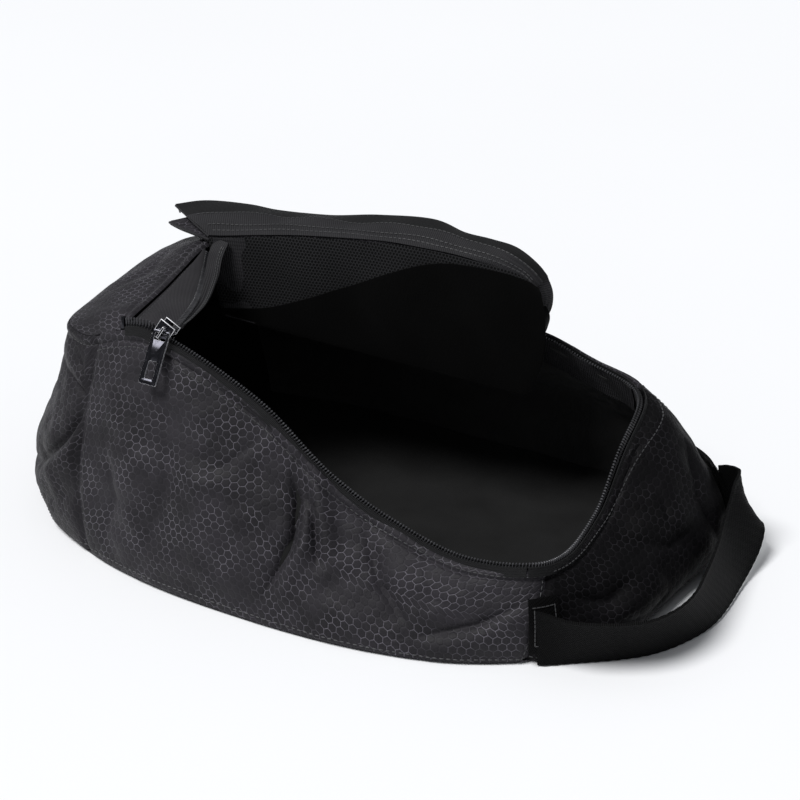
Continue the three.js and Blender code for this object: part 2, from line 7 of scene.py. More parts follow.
import bpy
import numpy as np
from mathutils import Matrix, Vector


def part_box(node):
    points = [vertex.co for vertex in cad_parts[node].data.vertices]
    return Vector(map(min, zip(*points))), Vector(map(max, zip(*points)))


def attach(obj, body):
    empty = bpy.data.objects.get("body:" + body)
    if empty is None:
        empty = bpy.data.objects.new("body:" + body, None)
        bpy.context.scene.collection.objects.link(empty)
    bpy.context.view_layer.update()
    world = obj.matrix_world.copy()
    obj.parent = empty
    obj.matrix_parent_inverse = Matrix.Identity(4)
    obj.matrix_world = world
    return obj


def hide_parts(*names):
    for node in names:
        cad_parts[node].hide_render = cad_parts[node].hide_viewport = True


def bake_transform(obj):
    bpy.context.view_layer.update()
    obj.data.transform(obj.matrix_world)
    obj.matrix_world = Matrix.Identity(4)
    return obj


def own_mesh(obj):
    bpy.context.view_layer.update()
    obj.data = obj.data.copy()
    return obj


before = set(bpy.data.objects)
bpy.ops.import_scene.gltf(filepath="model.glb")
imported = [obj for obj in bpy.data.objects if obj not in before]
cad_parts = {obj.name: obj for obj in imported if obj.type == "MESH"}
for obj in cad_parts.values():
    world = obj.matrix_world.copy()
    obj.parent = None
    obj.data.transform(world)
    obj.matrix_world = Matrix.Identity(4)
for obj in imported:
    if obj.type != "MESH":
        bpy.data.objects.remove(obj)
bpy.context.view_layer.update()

MM = 0.001
TURN = 2 * math.pi
ROOT_3 = math.sqrt(3)
scene = bpy.context.scene

# ---------- camera, floor and light ----------
CAMERA_PLACE = Vector((531.6, -900.5, 628.7)) * MM
CAMERA_AIM = Vector((3.5, 51.6, 54.0)) * MM
CAMERA_LENS = 94.2
FLOOR_SIZE = 12.0
FLOOR_DROP = 0.0003
KEY_AIM = Vector((0.30, 0.37, -0.88))
KEY_STRENGTH = 3.05
KEY_SPREAD = math.radians(28)
WORLD_STRENGTH = 0.26


def set_camera():
    data = bpy.data.cameras.new("camera")
    data.lens = CAMERA_LENS
    camera = bpy.data.objects.new("camera", data)
    camera.location = CAMERA_PLACE
    camera.rotation_euler = (CAMERA_AIM - CAMERA_PLACE).to_track_quat("-Z", "Y").to_euler()
    scene.collection.objects.link(camera)
    scene.camera = camera


def set_light():
    data = bpy.data.lights.new("key", "SUN")
    data.energy = KEY_STRENGTH
    data.angle = KEY_SPREAD
    key = bpy.data.objects.new("key", data)
    key.rotation_euler = KEY_AIM.to_track_quat("-Z", "Y").to_euler()
    scene.collection.objects.link(key)
    world = bpy.data.worlds.new("studio")
    world.use_nodes = True
    background = world.node_tree.nodes["Background"]
    background.inputs["Color"].default_value = (0.93, 0.96, 1.0, 1.0)
    background.inputs["Strength"].default_value = WORLD_STRENGTH
    scene.world = world
    scene.view_settings.view_transform = "Standard"


set_camera()
set_light()


# ---------- materials ----------
class Shader:
    """A node material in the making, with short calls for its nodes."""

    def __init__(self, name, **settings):
        self.material = bpy.data.materials.new(name)
        self.material.use_nodes = True
        self.tree = self.material.node_tree
        self.surface = self.tree.nodes["Principled BSDF"]
        for socket, value in settings.items():
            self.surface.inputs[socket.replace("_", " ")].default_value = value

    def node(self, kind, inputs=(), **options):
        made = self.tree.nodes.new(kind)
        for key, value in options.items():
            setattr(made, key, value)
        for key, value in dict(inputs).items():
            if isinstance(value, bpy.types.NodeSocket):
                self.tree.links.new(value, made.inputs[key])
            else:
                made.inputs[key].default_value = value
        return made

    def math(self, operation, a, b=0.0, c=0.0):
        return self.node("ShaderNodeMath", {0: a, 1: b, 2: c}, operation=operation).outputs[0]

    def times(self, a, b):
        return self.math("MULTIPLY", a, b)

    def plus(self, a, b):
        return self.math("ADD", a, b)

    def spread(self, value, by, start):
        """The value scaled by one number and moved by another."""
        return self.math("MULTIPLY_ADD", value, by, start)

    def vector(self, operation, a, b=(0, 0, 0), c=(0, 0, 0), out=0):
        made = self.node("ShaderNodeVectorMath", {0: a, 1: b}, operation=operation)
        if operation == "WRAP":
            made.inputs[2].default_value = c
        return made.outputs[out]

    def noise(self, vector, scale, detail=2.0):
        inputs = {"Vector": vector, "Scale": scale, "Detail": detail}
        return self.node("ShaderNodeTexNoise", inputs).outputs["Fac"]

    def ramp(self, value, low, high, to_low=0.0, to_high=1.0):
        inputs = {"Value": value, "From Min": low, "From Max": high, "To Min": to_low, "To Max": to_high}
        return self.node("ShaderNodeMapRange", inputs, interpolation_type="SMOOTHSTEP").outputs["Result"]

    def mix(self, factor, a, b):
        made = self.node("ShaderNodeMix", {"Factor": factor}, data_type="RGBA")
        for slot, value in (("A", a), ("B", b)):
            socket = [s for s in made.inputs if s.name == slot and s.type == "RGBA"][0]
            if isinstance(value, bpy.types.NodeSocket):
                self.tree.links.new(value, socket)
            else:
                socket.default_value = (*value, 1.0)
        return [s for s in made.outputs if s.type == "RGBA"][0]

    def coordinates(self, kind="UV"):
        return self.node("ShaderNodeTexCoord").outputs[kind]

    def finish(self, color=None, roughness=None, height=None, distance=0.0002, strength=1.0):
        if color is not None:
            self.tree.links.new(color, self.surface.inputs["Base Color"])
        if roughness is not None:
            self.tree.links.new(roughness, self.surface.inputs["Roughness"])
        if height is not None:
            inputs = {"Height": height, "Distance": distance, "Strength": strength}
            bump = self.node("ShaderNodeBump", inputs)
            self.tree.links.new(bump.outputs["Normal"], self.surface.inputs["Normal"])
        return self.material


def hexagons(shader, where, cell):
    """Distance from the nearest hexagon edge, 0 there and 0.5 in the middle, and the cell's middle."""
    scaled = shader.vector("SCALE", where)
    scaled.node.inputs["Scale"].default_value = 1 / cell
    half = (0.5, ROOT_3 / 2, 0.5)
    minus = tuple(-h for h in half)
    first = shader.vector("WRAP", scaled, half, minus)
    shifted = shader.vector("ADD", scaled, half)
    second = shader.vector("WRAP", shifted, half, minus)
    near_first, near_second = (shader.vector("LENGTH", shader.vector("MULTIPLY", way, (1, 1, 0)), out=1)
                               for way in (first, second))
    pick = shader.math("LESS_THAN", near_second, near_first)
    chosen = shader.node("ShaderNodeMix", {"Factor": pick}, data_type="VECTOR")
    a, b = [s for s in chosen.inputs if s.type == "VECTOR" and s.name in ("A", "B")]
    shader.tree.links.new(first, a)
    shader.tree.links.new(second, b)
    offset = [s for s in chosen.outputs if s.type == "VECTOR"][0]
    size = shader.vector("ABSOLUTE", offset)
    slanted = shader.vector("DOT_PRODUCT", size, (0.5, ROOT_3 / 2, 0), out=1)
    level = shader.vector("DOT_PRODUCT", size, (1, 0, 0), out=1)
    distance = shader.math("SUBTRACT", 0.5, shader.math("MAXIMUM", slanted, level))
    return distance, shader.vector("SUBTRACT", scaled, offset)


def threads(shader, where, pitch, vector):
    """A fine rib across one direction of the cloth, from 0 to 1."""
    along = shader.vector("DOT_PRODUCT", where, vector, out=1)
    wave = shader.math("SINE", shader.times(along, TURN / pitch))
    return shader.spread(wave, 0.5, 0.5)


def ripstop(name="ripstop nylon", coordinates="UV", depth=1.0):
    """Coated cloth with a raised hexagon grid; depth darkens the whole cloth, which paints shade on its
    darker copies.
    """
    shine = 0.28 * math.sqrt(depth)
    shader = Shader(name, Sheen_Weight=0.04 * depth, Sheen_Roughness=0.4, Specular_IOR_Level=shine, IOR=1.42)
    where = shader.coordinates(coordinates)
    edge, middle = hexagons(shader, where, HEX_CELL)
    line = shader.ramp(edge, 0.010, 0.056, 1.0, 0.0)
    cell = shader.node("ShaderNodeTexWhiteNoise", {"Vector": middle}).outputs["Value"]
    cloudy = shader.ramp(shader.noise(where, 24.0, 4.0), 0.32, 0.66)
    fine = shader.noise(where, 1500.0, 2.0)
    weave = shader.times(*(threads(shader, where, RIPSTOP_THREAD, way) for way in ((1, 0, 0), (0, 1, 0))))
    tone = shader.plus(shader.times(cell, 0.30), shader.times(cloudy, 0.6))
    low, high, bright, sheen_line = ([c * depth for c in colour] for colour in RIPSTOP_COLOURS)
    cloth = shader.mix(tone, low, high)
    cloth = shader.mix(shader.times(fine, 0.35), cloth, bright)
    # Painted sheen: the hex lines are lighter, partly the grid's own colour and partly painted sheen, and
    # slow noise patches fade them in and out to stand for sheen that changes with the view.
    painted_sheen = shader.ramp(shader.noise(where, 60.0, 5.0), 0.38, 0.64, 0.08, 1.0)
    broken = shader.ramp(fine, 0.3, 0.62, 0.45, 1.0)
    color = shader.mix(shader.times(line, shader.times(painted_sheen, broken)), cloth, sheen_line)
    rough = shader.spread(cell, 0.16, 0.52)
    pillow = shader.ramp(edge, 0.0, 0.2)
    height = shader.plus(shader.times(pillow, 0.7), shader.times(weave, 0.35))
    height = shader.plus(height, shader.times(fine, 0.55))
    return shader.finish(color, rough, height, 0.00025, 0.8)


def lining_cloth(name="lining cloth", depth=0.7):
    """Thin smooth cloth of the inside; depth darkens it, and its lighter and darker copies carry painted
    light and painted shade.
    """
    shader = Shader(name, Sheen_Weight=0.04, Sheen_Roughness=0.5, Specular_IOR_Level=0.3 * depth, IOR=1.4)
    where = shader.coordinates("UV")
    cloudy = shader.noise(where, 35.0, 3.0)
    fine = shader.noise(where, 1400.0, 2.0)
    weave = threads(shader, where, 0.0009, (1, 0.15, 0))
    color = shader.mix(cloudy, [0.006 * depth] * 3, [0.020 * depth] * 3)
    rough = shader.spread(fine, 0.2, 0.62)
    height = shader.plus(shader.times(weave, 0.5), fine)
    return shader.finish(color, rough, height, 0.0002, 0.6)


def mesh_cloth():
    """Knitted mesh with open hexagon holes."""
    shader = Shader("spacer mesh", Sheen_Weight=0.03, Sheen_Roughness=0.5, Specular_IOR_Level=0.2, IOR=1.42)
    where = shader.coordinates("UV")
    edge, middle = hexagons(shader, where, MESH_CELL)
    knit = shader.ramp(edge, 0.10, 0.24, 1.0, 0.0)
    twist = threads(shader, where, 0.0005, (0.8, 0.6, 0))
    cloudy = shader.noise(where, 30.0, 2.0)
    thread = shader.mix(shader.times(cloudy, twist), (0.009, 0.009, 0.010), (0.036, 0.036, 0.039))
    color = shader.mix(knit, (0.0015, 0.0015, 0.0018), thread)
    rough = shader.spread(knit, -0.3, 0.95)
    height = shader.plus(knit, shader.times(twist, 0.15))
    return shader.finish(color, rough, height, 0.0006, 1.0)


def ribbed_cloth(name, dark, light, pitch, slant=0.0, gloss=0.55, shine=0.22):
    """Tape, band or webbing with ribs at the given pitch; gloss is its base roughness."""
    shader = Shader(name, Sheen_Weight=0.1 * shine, Sheen_Roughness=0.4, Specular_IOR_Level=shine, IOR=1.42)
    where = shader.coordinates("UV")
    rib = threads(shader, where, pitch, (1, slant, 0))
    cross = threads(shader, where, pitch * 1.7, (-slant, 1, 0))
    fine = shader.noise(where, 1800.0, 2.0)
    cloudy = shader.noise(where, 40.0, 2.0)
    tone = shader.times(shader.plus(rib, cloudy), 0.55)
    color = shader.mix(tone, dark, light)
    rough = shader.spread(fine, 0.2, gloss)
    height = shader.plus(rib, shader.times(cross, 0.4))
    height = shader.plus(height, shader.times(fine, 0.4))
    return shader.finish(color, rough, height, 0.0003, 0.8)


def metal(name, dark, light, gloss=0.22):
    """Plated zinc with light scuffs."""
    shader = Shader(name, Metallic=1.0)
    where = shader.coordinates("Object")
    cloudy = shader.noise(where, 160.0, 3.0)
    scuffs = shader.ramp(shader.noise(where, 700.0, 4.0), 0.52, 0.75)
    color = shader.mix(cloudy, dark, light)
    color = shader.mix(shader.times(scuffs, 0.3), color, light)
    rough = shader.spread(scuffs, 0.2, gloss)
    return shader.finish(color, rough, cloudy, 0.00003, 0.3)


def mottled(name, scale, dark, light, rough, bump=(), detail=2.0, relief=None, **settings):
    """A material mottled between two colours; rough is its spread and start, bump its depth and strength."""
    shader = Shader(name, **settings)
    where = shader.coordinates("Object")
    mottle = shader.noise(where, scale, detail)
    height = shader.noise(where, relief) if relief else mottle
    color = shader.mix(mottle, dark, light)
    return shader.finish(color, shader.spread(mottle, *rough), height if bump else None, *bump)


# The ripstop's dark and light cloth, its fine fleck, and the lighter hex line colour, which is partly painted
# sheen.
RIPSTOP_COLOURS = [(0.0035, 0.0031, 0.0042), (0.0200, 0.0180, 0.0225), (0.036, 0.033, 0.039),
                   (0.140, 0.132, 0.154)]
HEX_CELL = 0.0047
MESH_CELL = 0.0020
RIPSTOP_THREAD = 0.0007
looks = {
    "ripstop": ripstop(),
    # Painted shade: a much darker copy of the ripstop for the toe panel, which faces away from the key light.
    "ripstop painted shade": ripstop("ripstop nylon in shade", "UV", 0.20),
    # Painted shade: a somewhat darker copy of the ripstop for the heel panel.
    "ripstop at heel, painted shade": ripstop("heel ripstop nylon, painted shade", "UV", 0.68),
    "ripstop flat": ripstop("ripstop nylon flat", "Object"),
    "lining": lining_cloth(),
    # Painted light: a lighter copy of the lining for the inside of the back wall.
    "lining painted light": lining_cloth("lining cloth in light", 1.9),
    # Painted shade: a near-black copy of the lining for the lid's cloth that lies in shadow.
    "lining painted shade": lining_cloth("lining cloth in shade", 0.12),
    "mesh": mesh_cloth(),
    "tape": ribbed_cloth("woven tape", (0.0030, 0.0030, 0.0033), (0.0165, 0.0165, 0.0175), 0.0008),
    "band": ribbed_cloth("ribbed band", (0.0080, 0.0080, 0.0088), (0.034, 0.033, 0.036), 0.0013),
    "plain": ribbed_cloth("plain woven cloth", (0.010, 0.0095, 0.011), (0.040, 0.038, 0.042), 0.0009, 0.4),
    "webbing": ribbed_cloth("webbing", (0.0006, 0.0006, 0.0007), (0.0046, 0.0046, 0.0049), 0.0011,
                            0.55, 0.5, 0.08),
    "coil": mottled("nylon coil", 120.0, (0.020, 0.020, 0.022), (0.085, 0.085, 0.092), (0.15, 0.2),
                    (0.00005, 0.5), relief=2500.0, IOR=1.5),
    "metal": metal("gunmetal", (0.020, 0.020, 0.024), (0.050, 0.050, 0.058)),
    # Painted highlight: near-white metal for rounded and cut edges, standing for light caught on them.
    "painted highlight edge": metal("metal edge, painted highlight", (0.60, 0.60, 0.62), (0.90, 0.90, 0.92), 0.5),
    "thread": mottled("sewing thread", 2600.0, (0.010, 0.010, 0.011), (0.050, 0.050, 0.054), (0.2, 0.45),
                      (0.0001, 0.6), Sheen_Weight=0.2, IOR=1.45),
    "foam": mottled("foam board", 900.0, (0.03, 0.03, 0.032), (0.07, 0.07, 0.075), (0.2, 0.7),
                    (0.0002, 0.6), 3.0),
    "floor": mottled("studio floor", 1.5, (0.90, 0.905, 0.92), (0.94, 0.945, 0.96), (0.05, 0.6)),
}


# ---------- meshes ----------
UV_START = 500
CLOTH, THIN, THICK = 0.8, 0.6, 1.2
LINING = 0.7


def placed(name, data):
    made = bpy.data.objects.new(name, data)
    scene.collection.objects.link(made)
    return made


def box_mm(node):
    """Low and high corner of a CAD node."""
    return (np.array(corner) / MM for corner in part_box(node))


def new_piece(name, verts, faces, look, body=None, nodes=(), uv=None, sharp=50):
    """A piece of the bag, riding on a body if one is given and standing for the CAD nodes listed."""
    mesh = bpy.data.meshes.new(name)
    mesh.from_pydata((np.asarray(verts) * MM).tolist(), [], [list(map(int, f)) for f in faces])
    mesh.update()
    if uv is not None:
        layer = mesh.uv_layers.new(name="cloth")
        corner = np.zeros(len(mesh.loops), int)
        mesh.loops.foreach_get("vertex_index", corner)
        layer.data.foreach_set("uv", (np.asarray(uv)[corner] * MM).ravel())
    mesh.polygons.foreach_set("use_smooth", [True] * len(mesh.polygons))
    mesh.set_sharp_from_angle(angle=math.radians(sharp))
    mesh.materials.append(looks[look])
    piece = placed(name, mesh)
    if nodes:
        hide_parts(*nodes)
    if body:
        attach(piece, body)
    return piece


def unit(vectors):
    return vectors / np.maximum(np.linalg.norm(vectors, axis=-1, keepdims=True), 1e-9)


def normals_of(points):
    """Normals of a grid of points, along columns crossed with along rows."""
    return unit(np.cross(np.gradient(points, axis=1), np.gradient(points, axis=0)))


def lengths_along(points, axis):
    """Running length over a grid, along one of its axes."""
    steps = np.linalg.norm(np.diff(points, axis=axis), axis=-1)
    start = np.zeros_like(np.take(steps, [0], axis=axis))
    return np.cumsum(np.concatenate([start, steps], axis=axis), axis=axis)


def cloth_uv(points):
    """Flat cloth coordinates of a grid: running lengths measured from its middle row and column."""
    across, up = lengths_along(points, 1), lengths_along(points, 0)
    rows, columns = points.shape[0] // 2, points.shape[1] // 2
    along = across - across[:, [columns]] + UV_START
    return np.stack([along, up - up[[rows], :] + UV_START], axis=-1)


def lifted(points, offset):
    """A grid moved along its own normals, by one number or by one for each point."""
    return points + normals_of(points) * (offset[..., None] if isinstance(offset, np.ndarray) else offset)


def slab(name, points, thickness, look, body=None, nodes=(), uv=None):
    """A closed thin sheet whose outer face is the grid of points and whose inner face lies below it."""
    inner = points - normals_of(points) * thickness
    rows, columns = points.shape[:2]
    index = np.arange(rows * columns).reshape(rows, columns)
    a, b, c, d = index[:-1, :-1], index[:-1, 1:], index[1:, 1:], index[1:, :-1]
    top = np.stack([a, b, c, d], -1).reshape(-1, 4)
    offset = rows * columns
    bottom = np.stack([a, d, c, b], -1).reshape(-1, 4) + offset
    rim = np.concatenate([index[0, :-1], index[:-1, -1], index[-1, :0:-1], index[:0:-1, 0]])
    after = np.roll(rim, -1)
    side = np.stack([rim, rim + offset, after + offset, after], -1)
    verts = np.concatenate([points.reshape(-1, 3), inner.reshape(-1, 3)])
    flat = cloth_uv(points) if uv is None else uv
    faces = np.concatenate([top, bottom, side])
    return new_piece(name, verts, faces, look, body, nodes, np.concatenate([flat.reshape(-1, 2)] * 2))


def tube_faces(rings, sides):
    """The side faces of a closed bar of several rings, and its two end caps."""
    faces = []
    for ring in range(rings - 1):
        for k in range(sides):
            a, b = ring * sides + k, ring * sides + (k + 1) % sides
            faces.append((a, b, b + sides, a + sides))
    last = (rings - 1) * sides
    return faces, [tuple(range(sides))[::-1], tuple(range(last, last + sides))]


def spindle(sides, profile):
    """A closed round form along X through (place, radius) pairs: its points, side faces and caps."""
    angles = np.arange(sides) / sides * TURN
    verts = [(x, r * math.cos(a), r * math.sin(a)) for x, r in profile for a in angles]
    return np.array(verts), *tube_faces(len(profile), sides)


def scatter(name, form, middles, x_axes, y_axes, z_axes, look, body, nodes=()):
    """Copies of one form at many places, joined as one piece."""
    verts, faces, caps = form
    points = (middles[:, None] + verts[None, :, [0]] * x_axes[:, None]
              + verts[None, :, [1]] * y_axes[:, None] + verts[None, :, [2]] * z_axes[:, None])
    all_faces = []
    for copy in range(len(middles)):
        start = copy * len(verts)
        all_faces.extend([[i + start for i in face] for face in faces + caps])
    return new_piece(name, points.reshape(-1, 3), all_faces, look, body, nodes, sharp=60)


def spaced(points, spacing):
    """Points, directions and source rows at an even spacing along a line of points."""
    run = lengths_along(points, 0)
    count = max(2, int(run[-1] / spacing))
    at = (np.arange(count) + 0.5) * run[-1] / count
    place = np.interp(at, run, np.arange(len(points)))
    return pick(points, place), unit(pick(np.gradient(points, axis=0), place)), place


def pick(table, place):
    """Rows of a table at fractional places."""
    low = np.clip(np.floor(place).astype(int), 0, len(table) - 2)
    share = (place - low)[:, None]
    return table[low] * (1 - share) + table[low + 1] * share


STITCH_SPACING, STITCH_HALF, STITCH_RADIUS = 3.1, 1.15, 0.32
STITCH = spindle(5, [(-1, 0.35), (-0.6, 1), (0.6, 1), (1, 0.35)])


def stitches(name, points, out, body, spacing=STITCH_SPACING):
    """A line of sewing stitches on a line of points, lying on cloth that faces out."""
    middles, along, place = spaced(points, spacing)
    facing = unit(pick(out, place))
    across = unit(np.cross(facing, along))
    return scatter(name, STITCH, middles, along * STITCH_HALF, across * STITCH_RADIUS,
                   facing * STITCH_RADIUS, "thread", body)


def sew(name, points, where, body=None, spacing=STITCH_SPACING, lift=0.0):
    """Stitches along the line that where picks out of a grid of cloth points."""
    return stitches(name, lifted(points, lift)[where], normals_of(points)[where], body, spacing)


def through(stations):
    """A curve through (place, value...) rows that never overshoots between them."""
    table = np.array(stations, float)
    xs, values = table[:, 0], table[:, 1:]
    widths = np.diff(xs)[:, None]
    slopes = np.diff(values, axis=0) / widths
    product = slopes[:-1] * slopes[1:]
    total = np.where(product > 0, slopes[:-1] + slopes[1:], 1)
    inner = np.where(product > 0, 2 * product / total, 0)
    tangents = np.concatenate([slopes[:1], inner, slopes[-1:]])

    def at(place):
        place = np.asarray(place, float)
        i = np.clip(np.searchsorted(xs, place) - 1, 0, len(xs) - 2)
        t = np.clip((place - xs[i]) / widths[i, 0], 0, 1)[..., None]
        a, b, w = values[i], values[i + 1], widths[i]
        found = (a * (1 + 2 * t) * (1 - t) ** 2 + b * t * t * (3 - 2 * t)
                 + w * (tangents[i] * t * (1 - t) ** 2 - tangents[i + 1] * t * t * (1 - t)))
        return found[..., 0] if values.shape[1] == 1 else found
    return at


def spline(points, count):
    """A smooth line through a few points, evenly spaced along its length."""
    points = np.array(points, float)
    padded = np.concatenate([[2 * points[0] - points[1]], points, [2 * points[-1] - points[-2]]])
    fine = []
    for i in range(len(points) - 1):
        p0, p1, p2, p3 = padded[i:i + 4]
        for t in np.linspace(0, 1, 24, endpoint=False):
            fine.append(0.5 * (2 * p1 + (p2 - p0) * t + (2 * p0 - 5 * p1 + 4 * p2 - p3) * t ** 2
                               + (3 * p1 - p0 - 3 * p2 + p3) * t ** 3))
    fine = np.array(fine + [points[-1]])
    run = lengths_along(fine, 0)
    return pick(fine, np.interp(np.linspace(0, run[-1], count), run, np.arange(len(fine))))


def ripple(points, size, seed, waves=7):
    """Soft seeded unevenness between about -1 and 1, with features of the given size."""
    random = np.random.default_rng(seed)
    total = np.zeros(points.shape[:-1])
    for _ in range(waves):
        direction = random.normal(size=3)
        direction *= TURN / (size * random.uniform(0.7, 1.6)) / np.linalg.norm(direction)
        total += np.sin(points @ direction + random.uniform(0, TURN))
    return total / waves * 1.6


def fold(across, up, path, depth, width, lip=0.7):
    """A crease along a path in a plane: a groove with a raised lip on its left side."""
    path = np.array(path, float)
    best = np.full(across.shape, 1e9)
    side = np.zeros(across.shape)
    progress = np.zeros(across.shape)
    count = len(path) - 1
    for i, (start, end) in enumerate(zip(path[:-1], path[1:])):
        line = end - start
        t = np.clip(((across - start[0]) * line[0] + (up - start[1]) * line[1]) / (line @ line), 0, 1)
        gap_x, gap_y = across - start[0] - t * line[0], up - start[1] - t * line[1]
        gap = np.hypot(gap_x, gap_y)
        closer = gap < best
        best = np.where(closer, gap, best)
        side = np.where(closer, np.sign(line[0] * gap_y - line[1] * gap_x), side)
        progress = np.where(closer, (i + t) / count, progress)
    taper = np.sin(np.pi * np.clip(progress, 0.02, 0.98)) ** 0.6
    signed = best * side
    groove = -0.5 * np.exp(-(signed / width) ** 2) - 0.5 * np.exp(-(signed / (0.36 * width)) ** 2)
    raised = lip * np.exp(-((signed - 1.9 * width) / (1.5 * width)) ** 2)
    return depth * taper * (groove + raised)


# ---------- the body's outline and walls ----------
base_low, base_high = box_mm("base_panel")
HEEL_LENGTH, TOE_LENGTH = -base_low[0], base_high[0]
FRONT_WIDTH, BACK_WIDTH = -base_low[1], base_high[1]
FRONT_ROUND, TOE_BACK_ROUND, HEEL_BACK_ROUND = 2.4, 5, 2.8
MOUTH_CENTRE, MOUTH_LENGTH, MOUTH_WIDTH, MOUTH_ROUND = 3.5, 153.5, 79, 7
HEEL_SEAM_X, TOE_SEAM_X, LID_SEAM_X, LID_END_X = -123, 146, -98, 84
FABRIC = 1.2
FOOT_HEIGHT = 1.6
EDGE_HEIGHTS = {
    "front": through([(-123, 120), (-98, 131), (-84, 134.5), (-72, 131.8), (-11, 107), (32, 74.5), (70, 57),
                      (116, 46), (146, 47)]),
    "toe": through([(-70, 47), (-35, 42.5), (-5, 48.5), (28, 74), (50, 84), (72, 91)]),
    "back": through([(-123, 121), (-98, 121), (84, 105), (118, 95), (146, 91)]),
    "heel": through([(-76, 120), (-50, 119), (20, 124), (76, 121)]),
}
BULGES = through([(-0.5, 17), (0, 8), (0.3, 7.5), (0.5, 6), (0.8, 5), (1, 5), (1.5, 17), (1.7, 22),
                  (1.86, 24), (2, 17), (2.14, 9), (2.5, 8), (3, 8), (3.5, 17), (4, 8)])
BULGE_LOW = through([(-0.5, 0.6), (0.5, 0.85), (1.5, 0.7), (2.5, 0.8), (3.5, 0.6)])
BULGE_SHOULDER = through([(-0.5, 1), (1.3, 1), (1.65, 0.6), (1.86, 0.42), (2.0, 0.5), (2.2, 1), (3.5, 1)])
EDGE_LEAN = 0.36


def power(value, exponent):
    return np.sign(value) * np.abs(value) ** exponent


def base_outline(angle):
    c, s = np.cos(angle), np.sin(angle)
    back = np.where(c > 0, TOE_BACK_ROUND, HEEL_BACK_ROUND)
    exponent = 2 / np.where(s > 0, back, FRONT_ROUND)
    x = power(c, exponent) * np.where(c > 0, TOE_LENGTH, HEEL_LENGTH)
    y = power(s, exponent) * np.where(s > 0, BACK_WIDTH, FRONT_WIDTH)
    return np.stack([x, y], -1)


def mouth_outline(angle):
    exponent = 2 / MOUTH_ROUND
    x = MOUTH_CENTRE + power(np.cos(angle), exponent) * MOUTH_LENGTH
    return np.stack([x, power(np.sin(angle), exponent) * MOUTH_WIDTH], -1)


def mouth_angle(x, side):
    return side * math.acos(float(power((x - MOUTH_CENTRE) / MOUTH_LENGTH, MOUTH_ROUND / 2)))


def evenly(outline, start, end, count):
    points = outline(np.linspace(start, end, 4000))
    run = lengths_along(points, 0)
    return pick(points, np.interp(np.linspace(0, run[-1], count + 1), run, np.arange(len(points))))


WALLS = ("front", "toe", "back", "heel")
STEPS = 400
corner_angles = [mouth_angle(HEEL_SEAM_X, -1), mouth_angle(TOE_SEAM_X, -1), mouth_angle(TOE_SEAM_X, 1),
                 mouth_angle(HEEL_SEAM_X, 1), mouth_angle(HEEL_SEAM_X, -1) + TURN]
foot_table, edge_table = [], []
for number, wall in enumerate(WALLS):
    start, end = corner_angles[number:number + 2]
    foot_table.append(evenly(base_outline, start, end, STEPS)[:-1])
    rim = evenly(mouth_outline, start, end, STEPS)[:-1]
    along = rim[:, 0] if wall in ("front", "back") else rim[:, 1]
    edge_table.append(np.column_stack([rim, EDGE_HEIGHTS[wall](along)]))
foot_table = np.concatenate(foot_table)
edge_table = np.concatenate(edge_table)


def around(table, t):
    """Values of a closed table at places from 0 to 4, one unit for each wall."""
    place = np.mod(np.asarray(t, float), 4) * STEPS
    low = np.floor(place).astype(int)
    share = (place - low)[..., None]
    return table[low % len(table)] * (1 - share) + table[(low + 1) % len(table)] * share


def soften(table, passes):
    for _ in range(passes):
        table = (np.roll(table, 1, 0) + 2 * table + np.roll(table, -1, 0)) / 4
    return table


edge_table = soften(edge_table, 60)
foot_table = soften(foot_table, 60)
tangents = np.roll(foot_table, -4, 0) - np.roll(foot_table, 4, 0)
out_table = soften(unit(np.column_stack([tangents[:, 1], -tangents[:, 0]])), 200)


def body_surface(t, v):
    """A point of the bag's outer skin: t goes round the four walls, v from the base seam to the edge."""
    t, v = np.broadcast_arrays(np.asarray(t, float), np.asarray(v, float))
    foot, edge, out = around(foot_table, t), around(edge_table, t), unit(around(out_table, t))
    low = np.concatenate([foot, np.full(t.shape + (1,), FOOT_HEIGHT)], -1)
    points = low * (1 - v[..., None]) + edge * v[..., None]
    place = np.mod(t + 0.5, 4) - 0.5
    arch = np.sin(np.pi * np.clip(v, 0, 1) ** BULGE_LOW(place))
    bulge = BULGES(place) * np.clip(arch, 0, 1) ** BULGE_SHOULDER(place)
    points[..., :2] += out * bulge[..., None]
    return points


def edge_frames(t):
    """Origin and the directions along, up and out at the upper edge."""
    origin = around(edge_table, t)
    step = 0.01
    along = unit(around(edge_table, t + step) - around(edge_table, t - step))
    level = unit(np.stack([along[:, 1], -along[:, 0], np.zeros(len(along))], -1))
    out = level * math.cos(EDGE_LEAN) + np.array([0, 0, math.sin(EDGE_LEAN)])
    out = unit(out - along * np.sum(out * along, -1, keepdims=True))
    return origin, along, unit(np.cross(out, along)), out


def place_on_edge(x, wall):
    """The place round the body where the upper edge of the front or back wall is at x."""
    t = np.linspace(wall, wall + 1, 2000)
    xs = around(edge_table, t)[:, 0]
    return float(t[np.argmin(np.abs(xs - x))])


# ---------- the walls ----------
HEM = {"ridge": 1.1, "ridge_at": 2.2, "groove": 0.9, "groove_at": 5.6}
SEAM_PINCH, SEAM_WIDTH = 1.5, 2.6
ROW_CROWDING = 0.03
SOFT_SIZE, SOFT_DEPTH = 58, 3.0
CRUMPLE_SIZE, CRUMPLE_DEPTH = 16, 0.85
CORNER_RIGHT = np.array([0.874, 0.485, 0])
FRONT_SEAM = through([(0, 0.0), (0.3, 0.0), (0.7, 0.015), (1, 0.03)])
TOE_SEAM = through([(0, 1.0), (0.5, 1.03), (1, 1.08)])
BACK_TOE_SEAM = through([(0, 2.0), (1, 2.0)])
BACK_HEEL_SEAM = through([(0, 3.0), (1, 3.0)])


